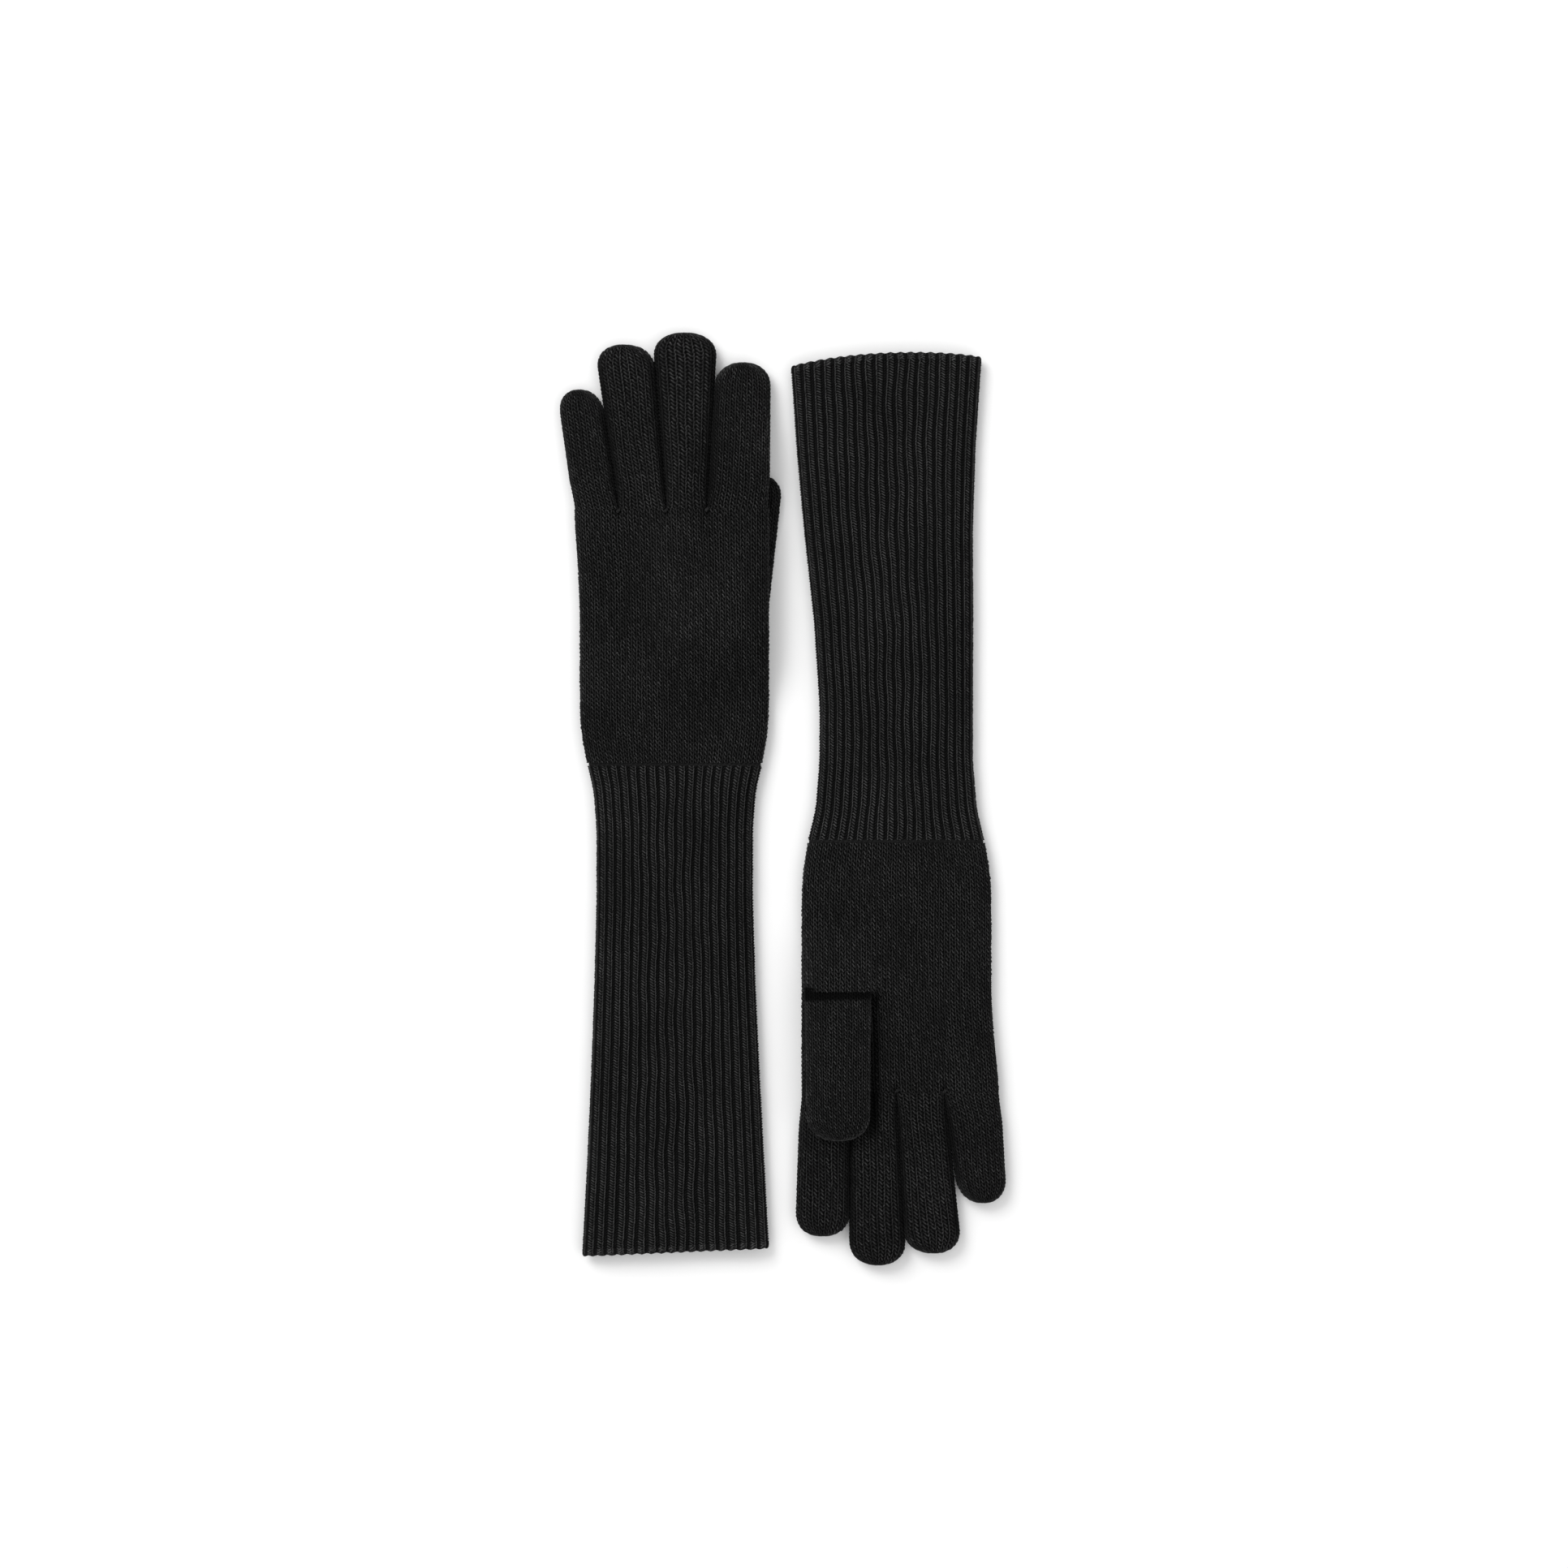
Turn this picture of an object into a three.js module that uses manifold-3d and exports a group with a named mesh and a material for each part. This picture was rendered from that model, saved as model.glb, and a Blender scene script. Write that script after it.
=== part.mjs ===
// A pair of opera gloves: long knitted gloves laid flat side by side on a table.
// The left glove lies back up with its thumb tucked under the hand. The right glove lies
// palm up, turned end for end, with its thumb folded over the palm.
//
// Units are millimetres. +X is to the right and +Y away from the viewer, +Z is up, and the
// origin is on the table under the middle of the pair.
//
// Each glove is drawn in its own frame: fingers along +Y, little finger at -X, palm up, and
// the middle of the wrist seam at the origin. Both gloves read the same functions.

import * as THREE from "three";
import { mergeVertices } from "three/addons/utils/BufferGeometryUtils.js";
import Module from "manifold-3d";

const wasm = await Module();
wasm.setup();

// The knitted fabric and how it lies
const WALL = 1.6; // thickness of the fabric
const TUBE_HEIGHT = 9.6; // outside height of a cuff, hand or finger as it lies
const THUMB_HEIGHT = 7.6; // outside height of a thumb as it lies
const CLEARANCE = 0.3; // left between two pieces that touch
const FINGER_GAP = 1; // left between neighbouring fingers
const CUFF_ROUND = 11; // width of the rounded side of the cuff and hand
const FINGER_ROUND = 7; // width of the rounded side of a finger or thumb

// Narrow pieces
const WELT_LENGTH = 3.6; // rolled edge at the cuff's opening
const WELT_EXTRA = 0.4; // how much thicker the welt is than the cuff
const SEAM_LENGTH = 1.8; // linked course between the cuff and the hand
const CROTCH_WIDTH = 2.4; // closing stitches between two fingers
const CROTCH_LENGTH = 3.2;
const KNOT_WIDTH = 3.2; // fastened yarn end at a fingertip
const KNOT_LENGTH = 1.8;
const KNOT_HEIGHT = 2;

// Shapes that both gloves share
const FLARE_POWER = 1.3; // how late the cuff widens towards its opening
const WAIST_POWER = 2.2; // how fast the cuff narrows below the wrist seam
const HEEL_LENGTH = 28; // from the wrist seam to the full width of the hand
const SPREAD_START = 75; // where the little finger's side begins to spread
const GUSSET_LENGTH = 30; // fabric that rises from the palm to the thumb's mouth
const GUSSET_LIP = 1.6; // palm fabric left under the thumb's mouth
const TIP_LENGTH = 13; // rounded end of a finger
const TIP_POWER = 2.4; // 2 is a plain ellipse, more is blunter
const LIFT_INSIDE = 14; // the tucked thumb lifts the whole hand outside this line
const LIFT_OUTSIDE = -22; // and not at all inside this one
const LIFT_HEEL = 26; // where the hand begins to rise from the table
const LIFT_FULL = 62; // where it has risen to the thumb's full height
const DROOP_START = 12.5; // a lifted index finger stays level this far from its root
const FOLD_PAST_THUMB = 1.9; // from the folded thumb's tip to where the fingers under it can bend
const ROOT_LEAST = 6; // shortest finger root, where the thumb hardly reaches the fingers

// How finely the tubes are divided
const QUARTER_STEPS = 3;
const TIP_STEPS = 4;
const HAND_SPANS = 6;
const CUFF_SPANS = 2;

const LEFT_GLOVE = {
  name: "left",
  palmUp: false,
  wrist: [-51.5, 16.4],
  turned: 0,
  wristWidth: 82.6,
  cuff: { length: 231.5, waistWidth: 73.6, waistEnd: 30, flareStart: 65, openWidth: 88.2, openShift: 0.4 },
  hand: { length: 121.4, width: 89.8, spread: 2.6 },
  // A finger's left and right edges are given at its root and where its tip ends.
  fingers: [
    { name: "little", left: [-47.5, -55.4], right: [-26.6, -35.3], length: 57.4 },
    { name: "ring", left: [-26.6, -38.2], right: [-3.8, -10.3], length: 78.8 },
    { name: "middle", left: [-3.8, -10.8], right: [15.4, 20.2], length: 84.5, lift: 7 },
    { name: "index", left: [15.4, 19.5], right: [44.3, 44.9], length: 70.3, lift: THUMB_HEIGHT + CLEARANCE },
  ],
  thumb: { base: 69.6, left: [16.4, 21.2], right: [44.4, 52], length: 69.4 },
};

const RIGHT_GLOVE = {
  name: "right",
  palmUp: true,
  wrist: [53.7, -20.2],
  turned: Math.PI,
  wristWidth: 83.6,
  cuff: { length: 230, waistWidth: 72.2, waistEnd: 38, flareStart: 65, openWidth: 90, openShift: 4.7 },
  hand: { length: 119.6, width: 90, spread: 3.6 },
  fingers: [
    { name: "little", left: [-49, -52], right: [-22.8, -30.6], length: 52.9 },
    { name: "ring", left: [-22.8, -31], right: [-0.1, -4.3], length: 76.8 },
    { name: "middle", left: [-0.1, -4.5], right: [21.9, 21.8], length: 82.5, covered: true },
    { name: "index", left: [21.9, 22.4], right: [44.9, 47.4], length: 68.7, covered: true },
  ],
  thumb: { base: 69.7, left: [12, 12.4], right: [43.8, 42.6], length: 72.6 },
};

const BLACK_KNIT = 0x1b1b1d;
const BLACK_RIB = 0x17171a;
const BLACK_YARN = 0x131315;

// 0 up to the first value, 1 from the second, and a smooth curve between them.
function rise(from, to, value) {
  return THREE.MathUtils.smoothstep(value, from, to);
}

// One section of a flattened tube, across its length: level along the top and the bottom,
// with a quarter of an ellipse at each corner. `inset` draws the tube's inner face.
function sectionRing(section, inset) {
  const left = section.left + inset;
  const right = section.right - inset;
  const middle = (section.low + section.high) / 2;
  const height = (section.high - section.low) / 2 - inset;
  const round = Math.min(section.round - inset, 0.45 * (right - left));
  const corner = [];
  for (let step = 0; step <= QUARTER_STEPS; step += 1) {
    const angle = ((step / QUARTER_STEPS) * Math.PI) / 2;
    corner.push([round * (1 - Math.cos(angle)), height * Math.sin(angle)]);
  }
  const top = corner.map(([x, z]) => [left + x, z]);
  for (let span = 1; span < section.spans; span += 1) {
    top.push([THREE.MathUtils.lerp(left + round, right - round, span / section.spans), height]);
  }
  top.push(...corner.reverse().map(([x, z]) => [right - x, z]));
  const bottom = top.slice(1, -1).reverse().map(([x, z]) => [x, -z]);
  return [...top, ...bottom].map(([x, z]) => new THREE.Vector3(x, section.y, middle + z));
}

// The single point that closes the end of a solid at a section.
function sectionPoint(section) {
  return [
    new THREE.Vector3((section.left + section.right) / 2, section.y, (section.low + section.high) / 2),
  ];
}

// A closed surface through rings of points. A ring of one point closes an end, and
// `joined` leads the last ring back to the first.
function loft(rings, joined) {
  const positions = rings.flat().flatMap((point) => point.toArray());
  const starts = [];
  let count = 0;
  for (const ring of rings) {
    starts.push(count);
    count += ring.length;
  }
  const triangles = [];
  const last = joined ? rings.length : rings.length - 1;
  for (let i = 0; i < last; i += 1) {
    const next = (i + 1) % rings.length;
    const size = Math.max(rings[i].length, rings[next].length);
    for (let k = 0; k < size; k += 1) {
      const here = (n) => starts[i] + (rings[i].length === 1 ? 0 : (k + n) % size);
      const there = (n) => starts[next] + (rings[next].length === 1 ? 0 : (k + n) % size);
      if (rings[i].length > 1) {
        triangles.push(here(0), here(1), there(0));
      }
      if (rings[next].length > 1) {
        triangles.push(here(1), there(1), there(0));
      }
    }
  }
  const geometry = new THREE.BufferGeometry();
  geometry.setAttribute("position", new THREE.Float32BufferAttribute(positions, 3));
  geometry.setIndex(triangles);
  return facingOut(geometry);
}

// Turns the triangles round where they enclose a negative volume.
function facingOut(geometry) {
  const position = geometry.getAttribute("position");
  const index = [...geometry.index.array];
  const [a, b, c] = [new THREE.Vector3(), new THREE.Vector3(), new THREE.Vector3()];
  let volume = 0;
  for (let i = 0; i < index.length; i += 3) {
    a.fromBufferAttribute(position, index[i]);
    b.fromBufferAttribute(position, index[i + 1]);
    c.fromBufferAttribute(position, index[i + 2]);
    volume += a.dot(b.cross(c)) / 6;
  }
  if (volume < 0) {
    geometry.setIndex(index.reverse());
  }
  return geometry;
}

// A tube that is open at both ends.
function openTube(sections, wall = WALL) {
  const outside = sections.map((section) => sectionRing(section, 0));
  const inside = sections.map((section) => sectionRing(section, wall));
  return loft([...outside, ...inside.reverse()], true);
}

// A full solid with flat ends.
function block(sections, inset) {
  const rings = sections.map((section) => sectionRing(section, inset));
  return loft([sectionPoint(sections[0]), ...rings, sectionPoint(sections.at(-1))], false);
}

function toManifold(geometry) {
  const merged = mergeVertices(geometry.clone(), 1e-4);
  return new wasm.Manifold(
    new wasm.Mesh({
      numProp: 3,
      vertProperties: merged.getAttribute("position").array,
      triVerts: new Uint32Array(merged.index.array),
    }),
  );
}

function toGeometry(manifold) {
  const mesh = manifold.getMesh();
  const geometry = new THREE.BufferGeometry();
  geometry.setAttribute("position", new THREE.Float32BufferAttribute(mesh.vertProperties, 3));
  geometry.setIndex([...mesh.triVerts]);
  return geometry;
}

// The cuff's section at a distance below the wrist seam.
function cuffSection(glove, distance) {
  const { waistWidth, waistEnd, flareStart, length, openWidth, openShift } = glove.cuff;
  const waist = Math.max(0, 1 - distance / waistEnd) ** WAIST_POWER;
  const flare = Math.max(0, (distance - flareStart) / (length - flareStart)) ** FLARE_POWER;
  const width = waistWidth + (glove.wristWidth - waistWidth) * waist + (openWidth - waistWidth) * flare;
  const shift = openShift * rise(flareStart, 0.8 * length, distance);
  return {
    y: -distance,
    left: shift - width / 2,
    right: shift + width / 2,
    low: 0,
    high: TUBE_HEIGHT,
    round: CUFF_ROUND,
    spans: CUFF_SPANS,
  };
}

// The ribbed cuff, from the wrist seam to the welt.
function cuff(glove) {
  const { waistEnd, flareStart, length } = glove.cuff;
  const end = length - WELT_LENGTH - CLEARANCE;
  const start = SEAM_LENGTH / 2 + CLEARANCE;
  const places = [start, 0.4 * waistEnd, waistEnd, flareStart];
  for (const share of [0.25, 0.5, 0.75, 1]) {
    places.push(THREE.MathUtils.lerp(flareStart, end, share));
  }
  return openTube(places.map((place) => cuffSection(glove, place)));
}

// The rolled edge that finishes the cuff's opening.
function welt(glove) {
  const ends = [glove.cuff.length - WELT_LENGTH, glove.cuff.length];
  const sections = ends.map((place) => {
    const section = cuffSection(glove, place);
    return { ...section, high: section.high + WELT_EXTRA };
  });
  return openTube(sections, WALL + WELT_EXTRA);
}

// The linked course that joins the cuff to the hand.
function wristSeam(glove) {
  const section = cuffSection(glove, 0);
  return openTube([
    { ...section, y: -SEAM_LENGTH / 2 },
    { ...section, y: SEAM_LENGTH / 2 },
  ]);
}

// The hand's section at a distance above the wrist seam.
function handSection(glove, distance) {
  const heel = 1 - Math.max(0, 1 - distance / HEEL_LENGTH) ** WAIST_POWER;
  const half = THREE.MathUtils.lerp(glove.wristWidth, glove.hand.width, heel) / 2;
  return {
    y: distance,
    left: -half - glove.hand.spread * rise(SPREAD_START, glove.hand.length, distance),
    right: half - CLEARANCE,
    low: 0,
    high: TUBE_HEIGHT,
    round: CUFF_ROUND,
    spans: HAND_SPANS,
  };
}

// The gusset's section: it starts in the palm's fabric and rises to the thumb's mouth.
function gussetSection(glove, distance) {
  const { base, left, right } = glove.thumb;
  const climb = rise(base - GUSSET_LENGTH, base - GUSSET_LIP, distance);
  return {
    y: distance,
    left: left[0],
    right: Math.min(right[0], handSection(glove, distance).right),
    low: TUBE_HEIGHT / 2,
    high: TUBE_HEIGHT - WALL / 4 + (THUMB_HEIGHT + CLEARANCE + WALL / 4) * climb,
    round: FINGER_ROUND,
    spans: CUFF_SPANS,
  };
}

// The hand: a tube that is open at the wrist, at the four fingers and at the thumb.
function hand(glove) {
  const start = SEAM_LENGTH / 2 + CLEARANCE;
  const end = glove.hand.length - CLEARANCE;
  const places = [start, 0.5 * HEEL_LENGTH, HEEL_LENGTH, 38, 50, LIFT_FULL, SPREAD_START, 90, 105, end];
  const sections = places.map((place) => handSection(glove, place));
  const hollow = [
    { ...sections[0], y: start - 1 },
    ...sections.slice(1, -1),
    { ...sections.at(-1), y: end + 1 },
  ];
  const base = glove.thumb.base;
  const steps = [0, 0.25, 0.5, 0.75, 1].map((share) => base - GUSSET_LENGTH * (1 - share));
  const gusset = steps.map((step) => gussetSection(glove, step));
  const gussetHollow = [...gusset.slice(0, -1), { ...gusset.at(-1), y: base - GUSSET_LIP }];
  const mouth = {
    ...gusset.at(-1),
    low: TUBE_HEIGHT + CLEARANCE,
    high: TUBE_HEIGHT + CLEARANCE + THUMB_HEIGHT,
  };
  const mouthEnds = [
    { ...mouth, y: base - 2 * GUSSET_LIP },
    { ...mouth, y: base + 1 },
  ];
  const laid = (blockSections, inset) => toManifold(layHand(block(blockSections, inset), glove));
  const outside = laid(sections, 0).add(laid(gusset, 0));
  const inside = laid(hollow, WALL).add(laid(gussetHollow, WALL)).add(laid(mouthEnds, WALL));
  return toGeometry(outside.subtract(inside));
}

// How far the tucked thumb holds the hand off the table.
function handLift(x, y) {
  return (THUMB_HEIGHT + CLEARANCE) * rise(LIFT_OUTSIDE, LIFT_INSIDE, x) * rise(LIFT_HEEL, LIFT_FULL, y);
}

// Turns a back-up glove's hand over, so that its gusset is below, and lets it lie on the thumb.
function layHand(geometry, glove) {
  if (glove.palmUp) {
    return geometry;
  }
  const position = geometry.getAttribute("position");
  for (let i = 0; i < position.count; i += 1) {
    const lift = handLift(position.getX(i), position.getY(i));
    position.setZ(i, TUBE_HEIGHT - position.getZ(i) + lift);
  }
  return facingOut(geometry);
}

// How far a finger's or thumb's closed tip is from the wrist seam.
function tipOf(glove, digit) {
  return (digit.base ?? glove.hand.length) + digit.length;
}

// Where a finger that the folded thumb covers can first bend.
function foldLine(glove) {
  return Math.max(tipOf(glove, glove.thumb) + FOLD_PAST_THUMB, glove.hand.length + ROOT_LEAST);
}

// How high a finger's underside lies at a distance above the wrist seam.
function fingerLevel(glove, finger, distance) {
  if (!finger.lift) {
    return 0;
  }
  const tip = tipOf(glove, finger);
  const start = glove.hand.length + (finger.name === "index" ? DROOP_START : 0);
  return finger.lift * THREE.MathUtils.clamp((tip - distance) / (tip - start), 0, 1);
}

// A finger's section, `inset` in from its outside. `end` from 0 to 1 goes round the tip.
function fingerSection(glove, finger, distance, end, inset) {
  const along = (distance - glove.hand.length) / finger.length;
  const angle = (end * Math.PI) / 2;
  const reach = (TIP_LENGTH - inset) * Math.sin(angle) ** (2 / TIP_POWER);
  const taper = Math.cos(angle) ** (2 / TIP_POWER);
  const left = THREE.MathUtils.lerp(finger.left[0], finger.left[1], along) + FINGER_GAP / 2 + inset;
  const right = THREE.MathUtils.lerp(finger.right[0], finger.right[1], along) - FINGER_GAP / 2 - inset;
  const middle = (left + right) / 2;
  const half = ((right - left) / 2) * taper;
  const low = fingerLevel(glove, finger, distance + reach);
  const centre = low + TUBE_HEIGHT / 2;
  const tall = (TUBE_HEIGHT / 2 - inset) * Math.sqrt(taper);
  return {
    y: distance + reach,
    left: middle - half,
    right: middle + half,
    low: centre - tall,
    high: centre + tall,
    round: FINGER_ROUND - inset,
    spans: 1,
  };
}

// The sections of a finger or thumb tube from its open end round its closed tip.
function fingerRings(places, shoulder, sectionAt, inset) {
  const sections = places.map((place) => sectionAt(place, 0, inset));
  for (let step = 0; step < TIP_STEPS; step += 1) {
    sections.push(sectionAt(shoulder, step / TIP_STEPS, inset));
  }
  const rings = sections.map((section) => sectionRing(section, 0));
  rings.push(sectionPoint(sectionAt(shoulder, 1, inset)));
  return rings;
}

// A tube closed at its tip: down the inside and back up the outside.
function closedTube(places, shoulder, sectionAt) {
  const outside = fingerRings(places, shoulder, sectionAt, 0);
  const inside = fingerRings(places, shoulder, sectionAt, WALL);
  return loft([...inside.reverse(), ...outside], false);
}

// Where the rounded end of a finger begins. Its knot and its wall fill the rest.
function shoulderOf(glove, digit) {
  return tipOf(glove, digit) - KNOT_LENGTH - CLEARANCE - TIP_LENGTH;
}

function fingerTube(glove, finger) {
  const start = (finger.covered ? foldLine(glove) : glove.hand.length) + CLEARANCE;
  const shoulder = shoulderOf(glove, finger);
  const places = [start, THREE.MathUtils.lerp(start, shoulder, 0.25), THREE.MathUtils.lerp(start, shoulder, 0.6)];
  const sectionAt = (place, end, inset) => fingerSection(glove, finger, place, end, inset);
  return closedTube(places, shoulder, sectionAt);
}

// The part of a finger that the folded thumb covers, up to the line where the rest can fold.
function fingerRoot(glove, finger) {
  const places = [glove.hand.length + CLEARANCE, foldLine(glove) - CLEARANCE];
  return openTube(places.map((place) => fingerSection(glove, finger, place, 0, 0)));
}

function thumbSection(glove, distance, end, inset) {
  const { base, left, right, length } = glove.thumb;
  const along = (distance - base) / length;
  const angle = (end * Math.PI) / 2;
  const reach = (TIP_LENGTH - inset) * Math.sin(angle) ** (2 / TIP_POWER);
  const taper = Math.cos(angle) ** (2 / TIP_POWER);
  const middle = THREE.MathUtils.lerp((left[0] + right[0]) / 2, (left[1] + right[1]) / 2, along);
  const width = THREE.MathUtils.lerp(right[0] - left[0], right[1] - left[1], along) - 2 * inset;
  const low = glove.palmUp ? TUBE_HEIGHT + CLEARANCE : 0;
  const centre = low + THUMB_HEIGHT / 2;
  const tall = (THUMB_HEIGHT / 2 - inset) * Math.sqrt(taper);
  return {
    y: distance + reach,
    left: middle - (width / 2) * taper,
    right: middle + (width / 2) * taper,
    low: centre - tall,
    high: centre + tall,
    round: FINGER_ROUND - inset,
    spans: 1,
  };
}

function thumbTube(glove) {
  const start = glove.thumb.base + CLEARANCE;
  const shoulder = shoulderOf(glove, glove.thumb);
  const places = [start, THREE.MathUtils.lerp(start, shoulder, 0.5)];
  const sectionAt = (place, end, inset) => thumbSection(glove, place, end, inset);
  return closedTube(places, shoulder, sectionAt);
}

// The fastened yarn end just past a closed tip.
function tipKnot(tip) {
  const knot = new THREE.SphereGeometry(0.5, 8, 6);
  knot.scale(KNOT_WIDTH, KNOT_LENGTH, KNOT_HEIGHT);
  knot.translate((tip.left + tip.right) / 2, tip.y + CLEARANCE + KNOT_LENGTH / 2, (tip.low + tip.high) / 2);
  return knot;
}

// The stitches that draw the two faces of the hand together between two fingers.
function crotchStitch(glove, x) {
  const stitch = new THREE.SphereGeometry(0.5, 8, 6);
  const y = glove.hand.length - 2 * CLEARANCE - CROTCH_LENGTH / 2;
  const lift = glove.palmUp ? 0 : handLift(x, y);
  stitch.scale(CROTCH_WIDTH, CROTCH_LENGTH, TUBE_HEIGHT - 2 * WALL - 2 * CLEARANCE);
  stitch.translate(x, y, TUBE_HEIGHT / 2 + lift);
  return stitch;
}

function addPiece(group, name, geometry, color) {
  const material = new THREE.MeshStandardMaterial({ color, roughness: 0.95, metalness: 0 });
  const mesh = new THREE.Mesh(geometry, material);
  mesh.name = name;
  group.add(mesh);
}

function buildGlove(glove) {
  const group = new THREE.Group();
  group.position.set(glove.wrist[0], glove.wrist[1], 0);
  group.rotation.z = glove.turned;
  const side = glove.name;
  addPiece(group, `${side}_cuff`, cuff(glove), BLACK_RIB);
  addPiece(group, `${side}_cuff_welt`, welt(glove), BLACK_RIB);
  addPiece(group, `${side}_wrist_seam`, wristSeam(glove), BLACK_YARN);
  addPiece(group, `${side}_hand`, hand(glove), BLACK_KNIT);
  addPiece(group, `${side}_thumb`, thumbTube(glove), BLACK_KNIT);
  const thumbTip = thumbSection(glove, shoulderOf(glove, glove.thumb), 1, 0);
  addPiece(group, `${side}_thumb_tip_knot`, tipKnot(thumbTip), BLACK_YARN);
  for (const [place, finger] of glove.fingers.entries()) {
    if (finger.covered) {
      addPiece(group, `${side}_${finger.name}_finger_root`, fingerRoot(glove, finger), BLACK_KNIT);
    }
    addPiece(group, `${side}_${finger.name}_finger`, fingerTube(glove, finger), BLACK_KNIT);
    const tip = fingerSection(glove, finger, shoulderOf(glove, finger), 1, 0);
    addPiece(group, `${side}_${finger.name}_tip_knot`, tipKnot(tip), BLACK_YARN);
    const next = glove.fingers[place + 1];
    if (next) {
      const name = `${side}_${finger.name}_${next.name}_crotch_stitch`;
      addPiece(group, name, crotchStitch(glove, finger.right[0]), BLACK_YARN);
    }
  }
  return group;
}

const pair = new THREE.Group();
pair.add(buildGlove(LEFT_GLOVE), buildGlove(RIGHT_GLOVE));

export default pair;
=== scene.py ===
"""A pair of long black knitted gloves, lying flat side by side on a white table.

Every glove is worked in its own frame, in millimetres: fingers along +Y, little finger at
-X, and the middle of the wrist seam at the origin. Knitted pieces are meshes with every
stitch raised from the surface.
"""

import math

import bpy
import numpy as np
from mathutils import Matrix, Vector


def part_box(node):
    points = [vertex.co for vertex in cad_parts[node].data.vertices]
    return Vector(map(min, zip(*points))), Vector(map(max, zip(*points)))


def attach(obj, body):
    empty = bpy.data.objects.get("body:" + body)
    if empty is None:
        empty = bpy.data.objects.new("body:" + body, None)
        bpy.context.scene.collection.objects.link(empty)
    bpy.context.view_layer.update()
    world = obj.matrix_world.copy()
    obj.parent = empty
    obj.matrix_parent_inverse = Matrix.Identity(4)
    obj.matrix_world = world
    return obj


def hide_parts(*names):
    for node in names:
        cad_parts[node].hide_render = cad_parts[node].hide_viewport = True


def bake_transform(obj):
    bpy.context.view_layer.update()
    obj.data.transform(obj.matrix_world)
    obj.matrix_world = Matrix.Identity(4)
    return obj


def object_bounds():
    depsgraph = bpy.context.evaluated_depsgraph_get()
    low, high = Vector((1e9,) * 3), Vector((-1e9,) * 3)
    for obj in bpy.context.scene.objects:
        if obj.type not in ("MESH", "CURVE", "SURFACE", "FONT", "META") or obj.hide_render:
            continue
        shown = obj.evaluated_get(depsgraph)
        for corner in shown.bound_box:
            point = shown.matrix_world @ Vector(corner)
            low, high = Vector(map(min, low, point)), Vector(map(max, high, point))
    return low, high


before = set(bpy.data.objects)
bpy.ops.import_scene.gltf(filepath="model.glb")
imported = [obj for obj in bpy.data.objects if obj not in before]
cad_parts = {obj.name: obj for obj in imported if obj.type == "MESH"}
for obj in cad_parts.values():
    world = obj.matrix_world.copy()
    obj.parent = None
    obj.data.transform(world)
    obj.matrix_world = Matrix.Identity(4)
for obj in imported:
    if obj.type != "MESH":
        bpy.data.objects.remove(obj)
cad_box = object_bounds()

bl_info = {
    "name": "Knitted opera gloves",
    "version": (1, 0, 0),
    "blender": (4, 5, 0),
    "location": "View3D > Sidebar > Gloves",
    "description": "Knits a pair of long gloves stitch by stitch and lays them on a table",
    "category": "Add Mesh",
}

MM = 0.001
FINGERS = ("little", "ring", "middle", "index")
CROTCHES = (("little", "ring"), ("ring", "middle"), ("middle", "index"))
COVERED = {("right", "middle"), ("right", "index")}  # their roots lie under the folded thumb
HALF_WALES = 38  # columns of stitches across one face of the hand

# Sections of the flattened tubes, in millimetres
CUFF_ROUND = 11.0  # width of the rounded side of a cuff or hand
OUTER_ROUND = 8.0  # of a thumb, and of the outer side of the little and index fingers
INNER_ROUND = 6.0  # where two fingers face each other
CROTCH_ROUND = 1.6  # where two fingers part
ROUND_GROWS = 12.0  # a finger's sides reach their full rounding this far from its root
TIP_LENGTH = 12.5  # rounded end of a finger
TIP_POWER = 2.25  # 2 is a plain ellipse, more is blunter
BLOOM = 0.6  # loops of yarn stand this far out from the edge of the fabric
INNER_BLOOM = {"left": 0.95, "right": 1.3}  # the same where two fingers face each other
OUTER_SPREAD = 0.9  # the outer sides of the little and index fingers bulge by this much
FLANK_PRESS = 0.5  # share of a stitch's relief that is lost along a finger's sides

# Where the tucked thumb holds its hand up, in millimetres in the glove's frame
THUMB_GAP = 0.3  # between the thumb and the hand on it
LIFT_ACROSS = (-22, 14)
LIFT_ALONG = (26, 62)
DROOP = (136, 188)  # the fingers come down again
# The folded thumb sinks a trough in the palm beside it
TROUGH_DEPTH = 2.6
TROUGH_WIDTH = 2.6
TROUGH_PAINTED_SHADE = 0.7  # share of the yarn's colour taken away by painted shade in the trough
# The palm sinks in short grooves where two fingers part
GROOVE_DEPTH = 1.9
GROOVE_WIDTH = 1.2
GROOVE_LENGTH = 7

# The cuff's opening falls short of square: at its middle, by its bow and by its slant
SLANT = {"left": (-0.8, 0.0, 1.9), "right": (-2.7, 3.8, 1.25)}
SLANT_HALF = 44.0  # half the opening's width
ROLL_RADIUS = 1.1  # of the rolled edge

AROUND = 12  # points round a yarn
PLIES = 2  # strands twisted into a yarn
TWIST = 2.2  # the strands make one turn in this length

SEEN = 0.7438  # width of what the camera takes in, in metres
AIM = (0.0004, 0.0071)  # where the camera looks, beside the middle of the gloves

PAINTED_STITCH_SHADING = "painted_stitch_shading"  # mesh attribute: height of a point in its stitch, which the wool paints as shade in the gaps and highlight on the tops


# ---------------------------------------------------------------- sizes and colours


def from_hex(code):
    """An sRGB hex colour as a linear one."""
    values = [int(code[i : i + 2], 16) / 255 for i in (1, 3, 5)]
    return [v / 12.92 if v <= 0.04045 else ((v + 0.055) / 1.055) ** 2.4 for v in values]


def length(name, description, default):
    return bpy.props.FloatProperty(
        name=name, description=description, default=default * MM, min=0, unit="LENGTH", precision=5
    )


def colour(name, description, code):
    return bpy.props.FloatVectorProperty(
        name=name, description=description, default=from_hex(code), min=0, max=1, subtype="COLOR"
    )


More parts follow.
